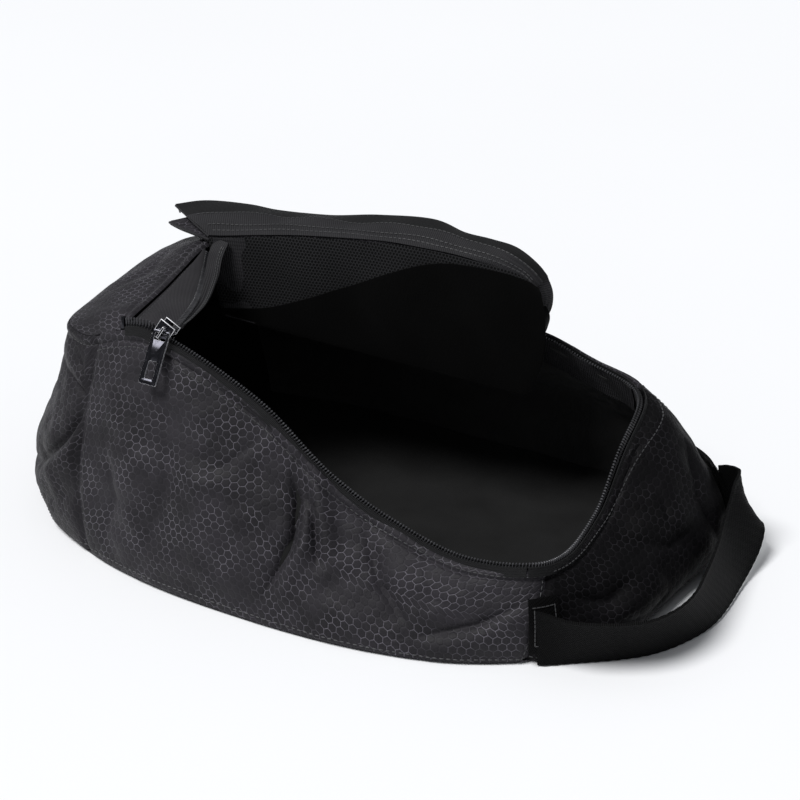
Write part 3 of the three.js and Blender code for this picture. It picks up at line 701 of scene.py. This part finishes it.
def rows_to_edge(count):
    """Rows from the base seam to the edge, closer together near both."""
    even = np.linspace(0, 1, count)
    return even - ROW_CROWDING * np.sin(TURN * even)


def wall_grid(start, end, rows, columns):
    v = rows_to_edge(rows)
    u = np.linspace(0, 1, columns)
    t = start(v)[:, None] * (1 - u) + end(v)[:, None] * u
    return t, np.broadcast_to(v[:, None], t.shape)


def dressed(points, v, wall, seed):
    """A wall's points with its hem, seams, soft waves, crumples and folds, and their way to the edge."""
    height = lengths_along(points, 0)
    below_edge = height[-1:] - height
    across = lengths_along(points, 1)
    from_seam = np.minimum(across, across[:, -1:] - across)
    hold = np.sin(np.pi * np.clip(v, 0, 1)) ** 0.6 * np.clip(from_seam / 22, 0, 1) ** 0.7
    soft, crumples = ripple(points, SOFT_SIZE, seed), ripple(points, CRUMPLE_SIZE, seed + 1)
    offset = hold * (SOFT_DEPTH * soft + CRUMPLE_DEPTH * crumples)
    crease_hold = np.sin(np.pi * np.clip(v, 0.04, 0.96)) ** 0.35 * np.clip(from_seam / 5, 0, 1)
    offset += crease_hold * wall_folds(wall, points)
    offset += HEM["ridge"] * np.exp(-((below_edge - HEM["ridge_at"]) / 2.1) ** 2)
    offset -= HEM["groove"] * np.exp(-((below_edge - HEM["groove_at"]) / 1.0) ** 2)
    offset -= SEAM_PINCH * np.exp(-(from_seam / SEAM_WIDTH) ** 2)
    moved = lifted(points, offset)
    moved[..., 2] = np.maximum(moved[..., 2], FOOT_HEIGHT * 0.4)
    return moved, below_edge


# Each crease is its path across and up the wall, its depth and its width.
FOLDS = {
    "front": [
        ([(14, 80), (22, 64), (24, 48), (14, 16)], 6.6, 4.0),
        ([(17, 80), (32, 56), (40, 38)], 5.4, 3.2),
        ([(-2, 96), (-20, 78), (-34, 70)], 1.6, 4.0),
        ([(58, 56), (74, 34), (96, 16)], 3.6, 6.0),
        ([(148, 32), (128, 21), (100, 12)], 3.6, 4.6),
        ([(-60, 104), (-52, 60), (-64, 20)], 3.0, 11.0),
        ([(-98, 78), (-88, 44), (-96, 12)], 2.6, 8.0),
        ([(92, 46), (104, 30), (126, 24)], 1.5, 5.0),
    ],
    "toe": [
        ([(-58, 30), (-40, 22), (-18, 26)], 2.0, 4.5),
        ([(-10, 40), (14, 30), (38, 36)], 1.8, 5.0),
        ([(62, 70), (48, 44), (52, 14)], 2.6, 5.0),
        ([(28, 62), (20, 40), (30, 12)], 1.8, 4.0),
        ([(-44, 12), (-20, 8), (2, 14)], 1.6, 3.6),
    ],
    "back": [
        ([(96, 90), (84, 60), (92, 20)], 2.6, 6.0),
        ([(20, 100), (10, 60), (24, 24)], 2.0, 9.0),
        ([(-70, 110), (-64, 70), (-80, 30)], 2.2, 8.0),
    ],
    "heel": [
        ([(-161, 99), (-152, 94), (-143.5, 89), (-160, 62), (-178, 38), (-188, 22), (-177, 3)], 6.0, 3.6),
        ([(-149, 108), (-146, 98), (-143, 90)], 4.0, 2.8),
        ([(-150, 40), (-164, 26), (-176, 16)], 1.6, 4.0),
        ([(-185, 60), (-176, 84), (-170, 96)], 1.6, 6.0),
    ],
}
ACROSS = {"front": np.array([1, 0, 0]), "toe": np.array([0, 1, 0]), "back": np.array([1, 0, 0]),
          "heel": CORNER_RIGHT}
HEEL_REAR_FOLD = ([(10, 100), (22, 66), (8, 20)], 2.2, 6.0)
HEEL_REAR_X = -140


def wall_folds(wall, points):
    """The creases of a wall; the heel has one more across its rear face."""
    total = sum(fold(points @ ACROSS[wall], points[..., 2], *crease) for crease in FOLDS[wall])
    if wall == "heel":
        total += (points[..., 0] < HEEL_REAR_X) * fold(points[..., 1], points[..., 2], *HEEL_REAR_FOLD)
    return total


PANELS = {
    "front": ("front_wall", FRONT_SEAM, TOE_SEAM, 100, 240, 11),
    "toe": ("toe_panel", TOE_SEAM, BACK_TOE_SEAM, 76, 140, 23),
    "back": ("back_wall", BACK_TOE_SEAM, BACK_HEEL_SEAM, 56, 150, 37),
    "heel": ("heel_panel", BACK_HEEL_SEAM, lambda v: FRONT_SEAM(v) + 4, 100, 190, 41),
}
# Painted shade: the toe and the heel take darker copies of the ripstop.
SHADES = {"toe": "ripstop painted shade", "heel": "ripstop at heel, painted shade"}
FOOT_ROW, SEAM_INSET = 4, 4
wall_points = {}
for wall, (node, start, end, rows, columns, seed) in PANELS.items():
    t, v = wall_grid(start, end, rows, columns)
    points, below_edge = dressed(body_surface(t, v), v, wall, seed)
    wall_points[wall] = points
    slab(f"{wall}_cloth", points, FABRIC, SHADES.get(wall, "ripstop"), "bag", [node])
    row = int(np.argmin(np.abs(below_edge[:, columns // 2] - HEM["groove_at"])))
    sew(f"{wall}_hem_stitches", points, row, "bag")
    sew(f"{wall}_foot_stitches", points, FOOT_ROW, "bag", 3.6)

SIDE_SEAMS = {"front": ("front", -SEAM_INSET), "toe": ("toe", -SEAM_INSET), "back": ("back", -SEAM_INSET),
              "heel": ("front", SEAM_INSET - 1)}
for name, (wall, column) in SIDE_SEAMS.items():
    sew(f"{name}_seam_stitches", wall_points[wall], np.s_[:-SEAM_INSET, column], "bag", 3.4)

# ---------- linings ----------
LINING_DEPTH = 3.4
LINING_FOOT = 6.5


def lining(wall, gather=0.0, look="lining"):
    """The loose inner cloth of a wall; gather bunches it below the zip facing."""
    number = WALLS.index(wall)
    t, vv = np.meshgrid(number + np.linspace(0, 1, 110), np.linspace(0.03, 0.955, 44))
    points = body_surface(t, vv)
    height = np.sin(np.pi * vv) ** 0.5
    offset = -LINING_DEPTH - height * (1.6 + 1.4 * ripple(points, 48, 60 + number))
    offset -= height * 0.5 * (1 + ripple(points, 14, 70 + number))
    offset -= gather * np.exp(-((vv - 0.72) / 0.08) ** 2) * (1 + ripple(points, 11, 80 + number))
    moved = lifted(points, offset)
    moved[..., 2] = np.maximum(moved[..., 2], LINING_FOOT)
    piece = slab(f"{wall}_lining_cloth", moved, LINING, look, "bag", [f"{wall}_lining"])


lining("front")
lining("toe", 0.8)
# The back wall's lining takes the lighter copy: painted light.
lining("back", 1.6, "lining painted light")
lining("heel")


def base_sheet(name, low, swell, thickness, reach, look, node):
    """A cloth that covers the base, laid in rings from its middle to its seam."""
    rings, spokes = 26, 160
    share = np.linspace(0.02, reach, rings)[:, None]
    outline = soften(evenly(base_outline, -math.pi, math.pi, spokes)[:-1], 4)
    outline = np.concatenate([outline, outline[:1]])
    flat = outline[None] * share[..., None]
    level = np.concatenate([flat, np.zeros(flat.shape[:2] + (1,))], -1)
    points = level + np.array([0, 0, 1]) * (low + swell * ripple(level, 60, 90))[..., None]
    return slab(name, points[::-1], thickness, look, "bag", [node], uv=points[::-1][..., :2] + UV_START)


base_sheet("base_lining_cloth", 6.4, 0.9, LINING, 0.985, "lining", "base_lining")
base_sheet("base_cloth", 1.25, 0.1, 1.0, 0.995, "ripstop flat", "base_panel")
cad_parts["base_board"].data.materials[0] = looks["foam"]

# ---------- the fixed top at the heel ----------
LID_SEAM = [(-97, -76, 132.5), (-98, -60, 134.5), (-101, -30, 136.5), (-103, -10, 139), (-104, 13, 142.5),
            (-103, 42, 139), (-98, 76, 121.5)]
HEEL_TOP_PUFF = 3.5


def heel_top_points(rows, columns):
    """A patch between the heel's edge, the two sides and the lid seam, from back to front."""
    u, v = np.linspace(0, 1, columns), np.linspace(0, 1, rows)
    heel_edge = around(edge_table, 3 + u)
    seam = spline(LID_SEAM[::-1], columns)
    front = around(edge_table, 4 + v * (place_on_edge(LID_SEAM_X, 0)))
    back = around(edge_table, 3 - v * (3 - place_on_edge(LID_SEAM_X, 2)))
    uu, vv = u[None, :, None], v[:, None, None]
    ends = heel_edge[None] * (1 - vv) + seam[None] * vv
    sides = back[:, None] * (1 - uu) + front[:, None] * uu
    corners = ((heel_edge[0] * (1 - uu) + heel_edge[-1] * uu) * (1 - vv)
               + (seam[0] * (1 - uu) + seam[-1] * uu) * vv)
    return ends + sides - corners, uu[..., 0], vv[..., 0]


def heel_top():
    points, u, v = heel_top_points(40, 110)
    hold = np.sin(np.pi * u) ** 0.5 * np.sin(np.pi * v) ** 0.5
    x, y = points[..., 0], points[..., 1]
    offset = hold * (HEEL_TOP_PUFF + 1.6 * ripple(points, 46, 101) + 0.5 * ripple(points, 15, 102))
    offset += hold * fold(x, y, [(-128, -72), (-120, -66), (-108, -66), (-100, -70)], 2.6, 3.0)
    offset += hold * fold(x, y, [(-140, -40), (-128, -10), (-132, 30)], 1.4, 8.0)
    to_seam = lengths_along(points, 0)[-1:] - lengths_along(points, 0)
    offset += 1.3 * np.exp(-((to_seam - 1.5) / 2.0) ** 2) - 0.7 * np.exp(-((to_seam - 5.5) / 1.4) ** 2)
    moved = lifted(points, offset)
    slab("heel_top_cloth", moved, FABRIC, "ripstop", "bag", ["heel_top_panel"])
    sew("lid_seam_stitches", moved, np.s_[-4, 4:-4], "bag")
    under = points[3:-1, 3:-3]
    under = under - normals_of(under) * (3.0 - hold[3:-1, 3:-3, None] * HEEL_TOP_PUFF * 0.5)
    slab("heel_top_lining_cloth", under, LINING, "lining", "bag", ["heel_top_lining"])


heel_top()

# ---------- the zip ----------
CHAIN_GAP, CHAIN_WIDTH, COIL_PITCH = 0.8, 3.0, 1.75
ZIP_TURN = through([(0, 0), (1.55, 0), (2.02, 1.25), (4, 1.25)])
TOOTH = spindle(6, [(-1, 0.4), (-0.8, 0.85), (-0.2, 0.8), (0.35, 0.9), (0.72, 1.2), (1, 0.6)])
TOOTH_SLANT, TOOTH_REACH, TOOTH_DEEP, TOOTH_WIDE = 0.16, 0.56, 0.9, 0.52
TOOTH_DEPTH = 0.6
chain_start = place_on_edge(LID_SEAM_X + 4, 0)
chain_end = place_on_edge(LID_END_X, 2)


def coil(name, origins, along, up, out, body, nodes=()):
    """A row of coil teeth that stand across a line, leaning a little along it."""
    lean = unit(up + along * TOOTH_SLANT)
    side = unit(np.cross(out, lean))
    long_axis = lean * CHAIN_WIDTH * TOOTH_REACH
    return scatter(name, TOOTH, origins, long_axis, out * TOOTH_DEEP, side * TOOTH_WIDE, "coil", body, nodes)


def ribbon(name, origins, up, out, rises, depth, look, nodes=(), thickness=THIN, waves=0.0):
    """A strip of tape that follows a line of frames between two rises."""
    rise = np.linspace(rises[0], rises[1], 7)[:, None, None]
    points = origins[None] + up[None] * rise + out[None] * depth
    if waves:
        points = points + out[None] * waves * ripple(points, 16, 120)[..., None]
    return slab(name, points, thickness, look, "bag", nodes)


def ring(radius, x=0.0, y=0.0, sides=8):
    """Points of a round section about a middle."""
    return [(radius * math.cos(a) + x, radius * math.sin(a) + y) for a in np.arange(sides) / sides * TURN]


def sweep(name, origins, up, out, section, look, body, nodes=()):
    """A closed bar with the same section all along a line of frames."""
    corners = np.array(section)
    verts = origins[:, None] + out[:, None] * corners[None, :, :1] + up[:, None] * corners[None, :, 1:]
    count, sides = verts.shape[:2]
    faces, caps = tube_faces(count, sides)
    uv = np.stack([np.repeat(np.arange(count) * 1.5, sides), np.tile(np.arange(sides) * 1.0, count)], -1)
    return new_piece(name, verts.reshape(-1, 3), faces + caps, look, body, nodes, uv + UV_START)


def edge_run(start, end, spacing):
    """Edge frames at an even spacing in length between two places round the mouth."""
    t = np.linspace(start, end, 3000)
    line = around(edge_table, t)
    run = lengths_along(line, 0)
    return edge_frames(np.interp(np.arange(0, run[-1], spacing), run, t))


def body_zip():
    origin, along, up, out = edge_run(chain_start, chain_end, COIL_PITCH)
    reach = chain_start + (chain_end - chain_start) * np.linspace(0, 1, len(origin))
    turn_in = ZIP_TURN(reach)[:, None]
    up, out = up * np.cos(turn_in) - out * np.sin(turn_in), out * np.cos(turn_in) + up * np.sin(turn_in)
    middle = origin + up * (CHAIN_GAP + CHAIN_WIDTH / 2) - out * TOOTH_DEPTH
    coil("zip_teeth_body", middle, along, up, out, "bag", ["zip_chain_body"])
    sweep("zip_cord_body", origin, up, out, ring(0.55, -0.6, CHAIN_GAP + 0.7), "tape", "bag")
    for wall, start, end, low, waves in ZIP_STRIPS:
        origin, along, up, out = edge_run(start, end, 1.6)
        ribbon(f"zip_strip_{wall}", origin, up, out, (-5, CHAIN_GAP + 1.6), -2.0, "tape",
               [f"zip_tape_{wall}"], 0.5)
        if wall != "back":
            ribbon(f"zip_edge_{wall}", origin, up, out, (-3.4, CHAIN_GAP + 0.9), 1.5, "tape")
        ribbon(f"zip_facing_{wall}", origin - up * 0.4, up, out, (low, 0.4), -3.2, "band", (), CLOTH, waves)
    slider_place = place_on_edge(SLIDER_MIDDLE[0] - 6, 0)
    origin, along, up, out = edge_run(chain_start, slider_place, COIL_PITCH)
    far = origin + up * (CHAIN_GAP + CHAIN_WIDTH * 1.35) - out * TOOTH_DEPTH
    coil("zip_teeth_closed", far, along, -up, out, "bag", ["zip_chain_closed"])


slider_low, slider_high = box_mm("slider_body")
SLIDER_MIDDLE = (slider_low + slider_high) / 2
# Each stretch of the zip: its wall, where it starts and ends, how low its facing reaches and how it waves.
ZIP_STRIPS = [("front", chain_start, 1, -9, 0.5), ("toe", 1.004, 1.996, -11, 0.5),
              ("back", 2.004, chain_end, -19, 1.1)]
body_zip()

binding_start, binding_end = chain_end + 0.01, place_on_edge(LID_SEAM_X, 2)
origin, along, up, out = edge_run(binding_start, binding_end, 2.0)
arc = [(-0.9 + 1.9 * math.sin(a), 0.4 + 1.9 * math.cos(a)) for a in np.linspace(0, TURN, 12, endpoint=False)]
sweep("back_binding", origin, up, out, arc, "tape", "bag", ["back_edge_binding"])
ribbon("back_facing", origin - up * 0.6, up, out, (-20, 0.4), -3.4, "band", (), CLOTH, 1.0)


# ---------- metal ----------
RIM_FACING = 0.8


def softened_copy(name, node, body, width, segments=2, edge=1):
    """A CAD piece with its edges rounded, the rounds given a painted highlight when edge is 1."""
    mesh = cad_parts[node].data.copy()
    mesh.materials.clear()
    for look in ("metal", "painted highlight edge"):
        mesh.materials.append(looks[look])
    piece = placed(name, mesh)
    weld = piece.modifiers.new("weld", "WELD")
    weld.merge_threshold = 1e-6
    flat = piece.modifiers.new("flat", "DECIMATE")
    flat.decimate_type = "DISSOLVE"
    flat.angle_limit = math.radians(2)
    bevel = piece.modifiers.new("bevel", "BEVEL")
    bevel.width = width * MM
    bevel.segments = segments
    bevel.limit_method = "ANGLE"
    bevel.angle_limit = math.radians(35)
    bevel.material = edge
    triangles = piece.modifiers.new("triangles", "TRIANGULATE")
    triangles.min_vertices = 5
    evaluated = piece.evaluated_get(bpy.context.evaluated_depsgraph_get())
    finished = bpy.data.meshes.new_from_object(evaluated)
    piece.modifiers.clear()
    piece.data = finished
    finished.polygons.foreach_set("use_smooth", [True] * len(finished.polygons))
    finished.set_sharp_from_angle(angle=math.radians(40))
    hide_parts(node)
    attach(piece, body)
    return piece


def brighten_rim(piece):
    """The cut sides of a stamped plate, given a painted highlight brighter than its faces."""
    places = np.array([vertex.co for vertex in piece.data.vertices])
    face = Vector(np.linalg.svd(places - places.mean(0), full_matrices=False)[2][2])
    for polygon in piece.data.polygons:
        polygon.material_index = int(abs(polygon.normal @ face) < RIM_FACING)


softened_copy("slider_shell", "slider_body", "slider", 0.35, 3)
softened_copy("slider_arch", "slider_bail", "slider", 0.3)
brighten_rim(softened_copy("puller_plate", "puller", "puller", 0.12, 1, 0))
softened_copy("end_stop", "zip_end_stop", "bag", 0.2, 2, 0)

# ---------- the lid ----------
HINGE_LINE = [(-96, 76, 121.5), (0, 76.5, 114), (84, 77, 107)]
VALLEY_LINE = [(-94, 15, 103), (-5, 33.5, 91), (84, 52, 79)]
RIDGE_LINE = [(-104, 18.5, 148), (-92, 22, 149), (-51, 32, 154), (9, 42, 158), (55, 50, 154.5), (75, 56, 149),
              (84, 60, 141)]
FREE_LINE = [(-147, 47.5, 148.5), (-130, 55, 151.5), (-103, 60, 152.5), (-83, 62, 152), (-50, 65, 154.5),
             (-19, 68, 160), (16, 68, 164.5), (36, 68, 160.5), (53, 67, 160.5), (69, 66, 159.5),
             (82, 66, 153), (89, 66.5, 146.5)]
END_INNER = [(84, 60, 141), (86.5, 62, 135), (83, 65, 125), (78, 69, 113)]
END_OUTER = [(89, 66.5, 146.5), (91.6, 68, 138), (91, 70, 129), (88, 72, 121), (81, 76, 110)]
LID_COLUMNS = 150
PLEAT_ROWS, FRONT_ROWS = 34, 22
# The two bodies that meet at each fold, and the way across it.
FOLD_BODIES = {
    "hinge": ("bag", "lid_back", (0, -0.94, -0.33)),
    "valley": ("lid_back", "lid_middle", (0, 0.1, 1)),
    "ridge": ("lid_middle", "lid_front", (0, 1, 0.1)),
}
line_points = {"hinge": HINGE_LINE, "valley": VALLEY_LINE, "ridge": RIDGE_LINE, "free": FREE_LINE}
lid_lines = {name: spline(points, LID_COLUMNS) for name, points in line_points.items()}


def between(line_a, line_b, rows):
    """A grid of straight rows from one line to another."""
    share = np.linspace(0, 1, rows)[:, None, None]
    return line_a[None] * (1 - share) + line_b[None] * share


def bowed(points, puff, waves, size, seed):
    rows, columns = points.shape[:2]
    v = np.linspace(0, 1, rows)[:, None]
    u = np.linspace(0, 1, columns)[None]
    hold = np.sin(np.pi * v) ** 0.6
    offset = hold * (puff * np.sin(np.pi * u) ** 0.4 + waves * ripple(points, size, seed))
    return lifted(points, offset)


def bend(piece, line):
    """Looks up one of the lid's folds and bakes the piece's place into its mesh; nothing attaches the piece
    to the fold's bodies, so it does not bend.
    """
    lower, upper, toward = FOLD_BODIES[line]
    points = lid_lines[line]
    along = unit(points[-1] - points[0])
    direction = np.array(toward, float)
    direction = unit(direction - along * (direction @ along))
    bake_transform(piece)


def lid_pleat(name, near, far, rows, puff, seed, end_bow=0.0):
    """The ripstop of one pleat between two of the lid's lines, and the surface that its layers lie on."""
    flat = between(lid_lines[near], lid_lines[far], rows)
    toward_end = np.linspace(0, 1, LID_COLUMNS)[None] ** 12
    flat[..., 0] += np.sin(np.pi * np.linspace(0, 1, rows))[:, None] ** 0.5 * toward_end * end_bow
    middle = bowed(flat, puff, 1.3, 34, seed)
    outer = lifted(middle, -0.5)
    cloth = slab(f"{name}_cloth", outer[:, ::-1], CLOTH, "ripstop", nodes=[f"{name}_panel"])
    bend(cloth, near)
    return middle


def net(name, near, points):
    """The mesh that lines a pleat."""
    piece = slab(f"{name}_net", lifted(points, 1.5), CLOTH, "mesh", nodes=[f"{name}_mesh"])
    bend(piece, near)


NET_INSET = 3
back = lid_pleat("lid_back", "hinge", "valley", FRONT_ROWS, 2.0, 131)
net("lid_back", "hinge", back[:-NET_INSET])
middle = lid_pleat("lid_middle", "valley", "ridge", PLEAT_ROWS, 3.0, 137, 9.0)
net("lid_middle", "valley", middle[NET_INSET:])

# Smooth near-black cloth covers the mesh from the valley up to this share of the pleat: partly the lid's
# inner lining and partly painted shade where the mesh falls into shadow.
MESH_EDGE = through([(0, 0.10), (0.15, 0.22), (0.4, 0.55), (0.77, 0.95), (1, 0.985)])
row_place = np.linspace(0, 1, 30)[:, None] * MESH_EDGE(np.linspace(0, 1, LID_COLUMNS)) * (PLEAT_ROWS - 1)
low_row = np.clip(np.floor(row_place).astype(int), 0, PLEAT_ROWS - 2)
row_share = (row_place - low_row)[..., None]
column = np.arange(LID_COLUMNS)[None]
strip = middle[low_row, column] * (1 - row_share) + middle[low_row + 1, column] * row_share
bend(slab("lid_fold_shade_strip", lifted(strip, 2.3), THIN, "lining painted shade"), "valley")

front = lid_pleat("lid_front", "ridge", "free", FRONT_ROWS, 1.6, 139)
BAND_SHARE, BAND_RIBS = 0.66, 3
band_rows = int(FRONT_ROWS * BAND_SHARE)
ribs = np.linspace(0, 1, band_rows)[:, None] * np.ones((1, LID_COLUMNS))
raised = 1.5 + 0.5 * np.abs(np.sin(ribs * math.pi * BAND_RIBS)) ** 0.5
band = slab("lid_ribbed_band", lifted(front[:band_rows], raised), 0.9, "band", nodes=["lid_front_band"])
bend(band, "ridge")
edge_strip = slab("lid_zip_strip", lifted(front[band_rows - 1:], 1.2), THIN, "tape", nodes=["zip_tape_lid"])
bend(edge_strip, "ridge")
for number, row in enumerate((2, 5, band_rows - 2)):
    seam = sew(f"lid_band_stitches_{number}", front, np.s_[row, 3:-3], None, 2.8, 2.1)
    bend(seam, "ridge")

free_middles, free_along, place = spaced(lid_lines["free"], COIL_PITCH)
free_out = unit(pick(normals_of(front)[-1], place))
outward = unit(pick(front[-1] - front[-3], place))
coil("zip_teeth_lid", free_middles - free_out * 3.2 - outward * 1.2, free_along,
     unit(outward * 0.35 - free_out), outward, "lid_front", ["zip_chain_lid"])

# The rounded end of the lid, where its band turns down to the hinge.
end_band = bowed(between(spline(END_INNER, 40), spline(END_OUTER, 40), 10), 1.0, 0.5, 20, 151)[::-1]
for piece in (slab("lid_end_band", lifted(end_band, 1.0), THICK, "band"),
              sew("lid_end_stitches", end_band, 5, None, 2.8, 1.2)):
    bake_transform(piece)
END_FRONT = spline([(84, 52, 80), (88, 58, 104), (87, 62, 122), (84, 60, 141)], 40)
END_REAR = spline([(83, 76, 107.5), (86, 74, 112), (89, 69, 124), (84, 61.5, 141)], 40)
end_cloth = bowed(between(END_FRONT, END_REAR, 14), 0.6, 0.6, 22, 152)
# The inner face at the lid's end takes the near-black lining: painted shade.
piece = slab("lid_end_cloth", end_cloth, CLOTH, "lining painted shade")
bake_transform(piece)

# The second layer of the lid's corner, which shows under the first.
LOBE = [spline([(-104, 18.5, 146.5), (-116, 22, 146), (-130, 28, 144.5), (-144, 36, 142.5)], 40),
        spline([(-100, 40, 149), (-112, 46, 149), (-126, 48, 147.5), (-144, 38, 143)], 40)]
CORNER_EDGE = spline([(-104, 18.5, 148.5), (-117, 27, 148.5), (-132, 37.5, 148.5), (-147, 47.5, 148.5)], 40)


def hem_cord(name, line):
    """A rounded hem along a line of the lid's corner."""
    along = unit(np.gradient(line, axis=0))
    up = unit(np.cross(np.cross(along, (0, 0, 1)), along))
    return sweep(name, line, up, np.cross(along, up), ring(0.8), "band", "lid_front")


lobe = bowed(between(*LOBE, 14), 1.0, 0.6, 18, 153)
for piece in (slab("lid_corner_lobe", lobe[:, ::-1], THICK, "ripstop", "lid_front"),
              hem_cord("lobe_hem", LOBE[0]), hem_cord("corner_hem", CORNER_EDGE)):
    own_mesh(piece)

# ---------- the corner of the lid that stays sewn to the heel top ----------
TEETH_LINE = [(-67, -74, 137.5), (-72, -51, 139), (-80.5, -31, 137.5), (-93, -6.5, 138.5), (-101.5, 11, 143)]
BAND_LINE = [(-64, -68, 137), (-66.5, -52, 136), (-72.5, -31, 134.5), (-82, -7.5, 136), (-89, 9, 142),
             (-90, 17, 148)]
GUSSET_TOP = 5
GUSSET_ROWS, GUSSET_COLUMNS = 60, 26
teeth_side = spline(TEETH_LINE, GUSSET_ROWS)
gusset = between(spline(LID_SEAM[:GUSSET_TOP], GUSSET_ROWS), teeth_side, GUSSET_COLUMNS).transpose(1, 0, 2)
hold = np.sin(np.pi * np.linspace(0, 1, GUSSET_COLUMNS)) ** 0.6 * np.ones((GUSSET_ROWS, 1))
dip = np.exp(-((np.arange(GUSSET_COLUMNS) - 1.5) / 2.2) ** 2)[None]
gusset = lifted(gusset, hold * (1.4 + 0.6 * ripple(gusset, 20, 161)) - 2.0 * dip)
middles, along, place = spaced(teeth_side, COIL_PITCH)
out = unit(pick(normals_of(gusset)[:, -1], place))
right = unit(np.cross(along, out))
TEETH_BASE = [tuple(np.array(point) + (1.5, 0.5, -1.2)) for point in TEETH_LINE] + [(-100, 19, 148)]
teeth_base = spline(TEETH_BASE, GUSSET_ROWS)
corner_band = between(teeth_base, spline(BAND_LINE, GUSSET_ROWS), 16).transpose(1, 0, 2)
corner_band = bowed(corner_band, 0.8, 0.5, 18, 163)
gusset_pieces = [
    slab("gusset_cloth", gusset, 0.9, "plain", "bag", ["lid_corner_gusset"]),
    sew("gusset_stitches", gusset, np.s_[2:-2, 3], "bag"),
    coil("zip_teeth_corner", middles + right * 1.4, along, right, out, "bag"),
    slab("corner_band", corner_band, THICK, "band", "bag"),
]
for number, column in enumerate((-3, -5)):
    name = f"corner_band_stitches_{number}"
    gusset_pieces.append(sew(name, corner_band, np.s_[2:-2, column], "bag", 2.6, 0.2))
for piece in gusset_pieces:
    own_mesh(piece)

side_band = bowed(between(lid_lines["valley"], lid_lines["ridge"], 20)[:, 2:18], 0.6, 0.4, 20, 165)
bend(slab("lid_side_hem", lifted(side_band, 2.6), 1.0, "band", nodes=["lid_side_band"]), "valley")

# ---------- the handle ----------
WEBBING, WEBBING_WIDTH = 1.6, 32
HANDLE_PATH = [
    [(159, -82, 0.8), (157.5, -83, 32)],
    [(163, -80, 0.8), (161, -82, 32)],
    [(174, -72, 0.8), (177, -80, 30)],
    [(193, -58, 0.8), (200, -67, 29)],
    [(208, -43, 0.8), (214, -52, 30)],
    [(220, -21, 0.8), (221, -28, 31)],
    [(226, 4, 0.8), (217, 5, 31)],
    [(225, 42, 2), (209, 48, 31)],
    [(223, 70, 12), (206, 72, 40)],
    [(218, 82, 18), (204, 82, 45)],
    [(205, 86, 16), (196, 86, 45)],
    [(193, 86, 12), (190, 87, 43)],
]


def handle():
    feet, heads = (spline([pair[k] for pair in HANDLE_PATH], 220) for k in (0, 1))
    middle = (feet + heads) / 2
    half = unit(heads - feet) * WEBBING_WIDTH / 2
    middle[:, 2] = np.maximum(middle[:, 2], half[:, 2] + 0.8)
    share = np.linspace(-1, 1, 17)[:, None, None]
    points = middle[None] + half[None] * share
    run = lengths_along(points, 1)
    twill = 0.12 * np.sin(run * TURN / 5.5 + share[..., 0] * 9)
    selvedge = 0.35 * (np.abs(share[..., 0]) > 0.9)
    points = lifted(points, WEBBING / 2 + twill + selvedge)
    uv = np.stack([run, np.broadcast_to(share[..., 0] * WEBBING_WIDTH / 2, run.shape)], -1) + UV_START
    strap = slab("webbing_loop", points, WEBBING, "webbing", nodes=["handle_webbing"], uv=uv)
    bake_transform(strap)


handle()


def sewn_end(name, node, place):
    """The flat end of the webbing on the toe panel, with a box of stitches."""
    low, high = box_mm(node)
    t, z = np.meshgrid(place + np.linspace(-0.045, 0.045, 14), np.linspace(low[2] + 1, high[2] - 1, 14))
    points = lifted(body_surface(t, np.clip(z / around(edge_table, t)[..., 2], 0, 1)), 2.2)
    slab(name, points, 1.8, "webbing", "bag", [node])
    box, facing = (np.concatenate([grid[2, 2:-2], grid[2:-2, -3], grid[-3, -3:1:-1], grid[-3:1:-1, 2]])
                   for grid in (points, normals_of(points)))
    stitches(f"{name}_stitches", box + facing * 0.25, facing, "bag", 2.4)


sewn_end("handle_end_front", "handle_anchor_front", 1.045)
sewn_end("handle_end_back", "handle_anchor_back", 1.95)


# ---------- floor ----------
def floor():
    half = FLOOR_SIZE / 2
    mesh = bpy.data.meshes.new("floor")
    corners = [(-half, -half), (half, -half), (half, half), (-half, half)]
    mesh.from_pydata([(x, y, -FLOOR_DROP) for x, y in corners], [], [(0, 1, 2, 3)])
    mesh.materials.append(looks["floor"])
    placed("floor", mesh)


floor()
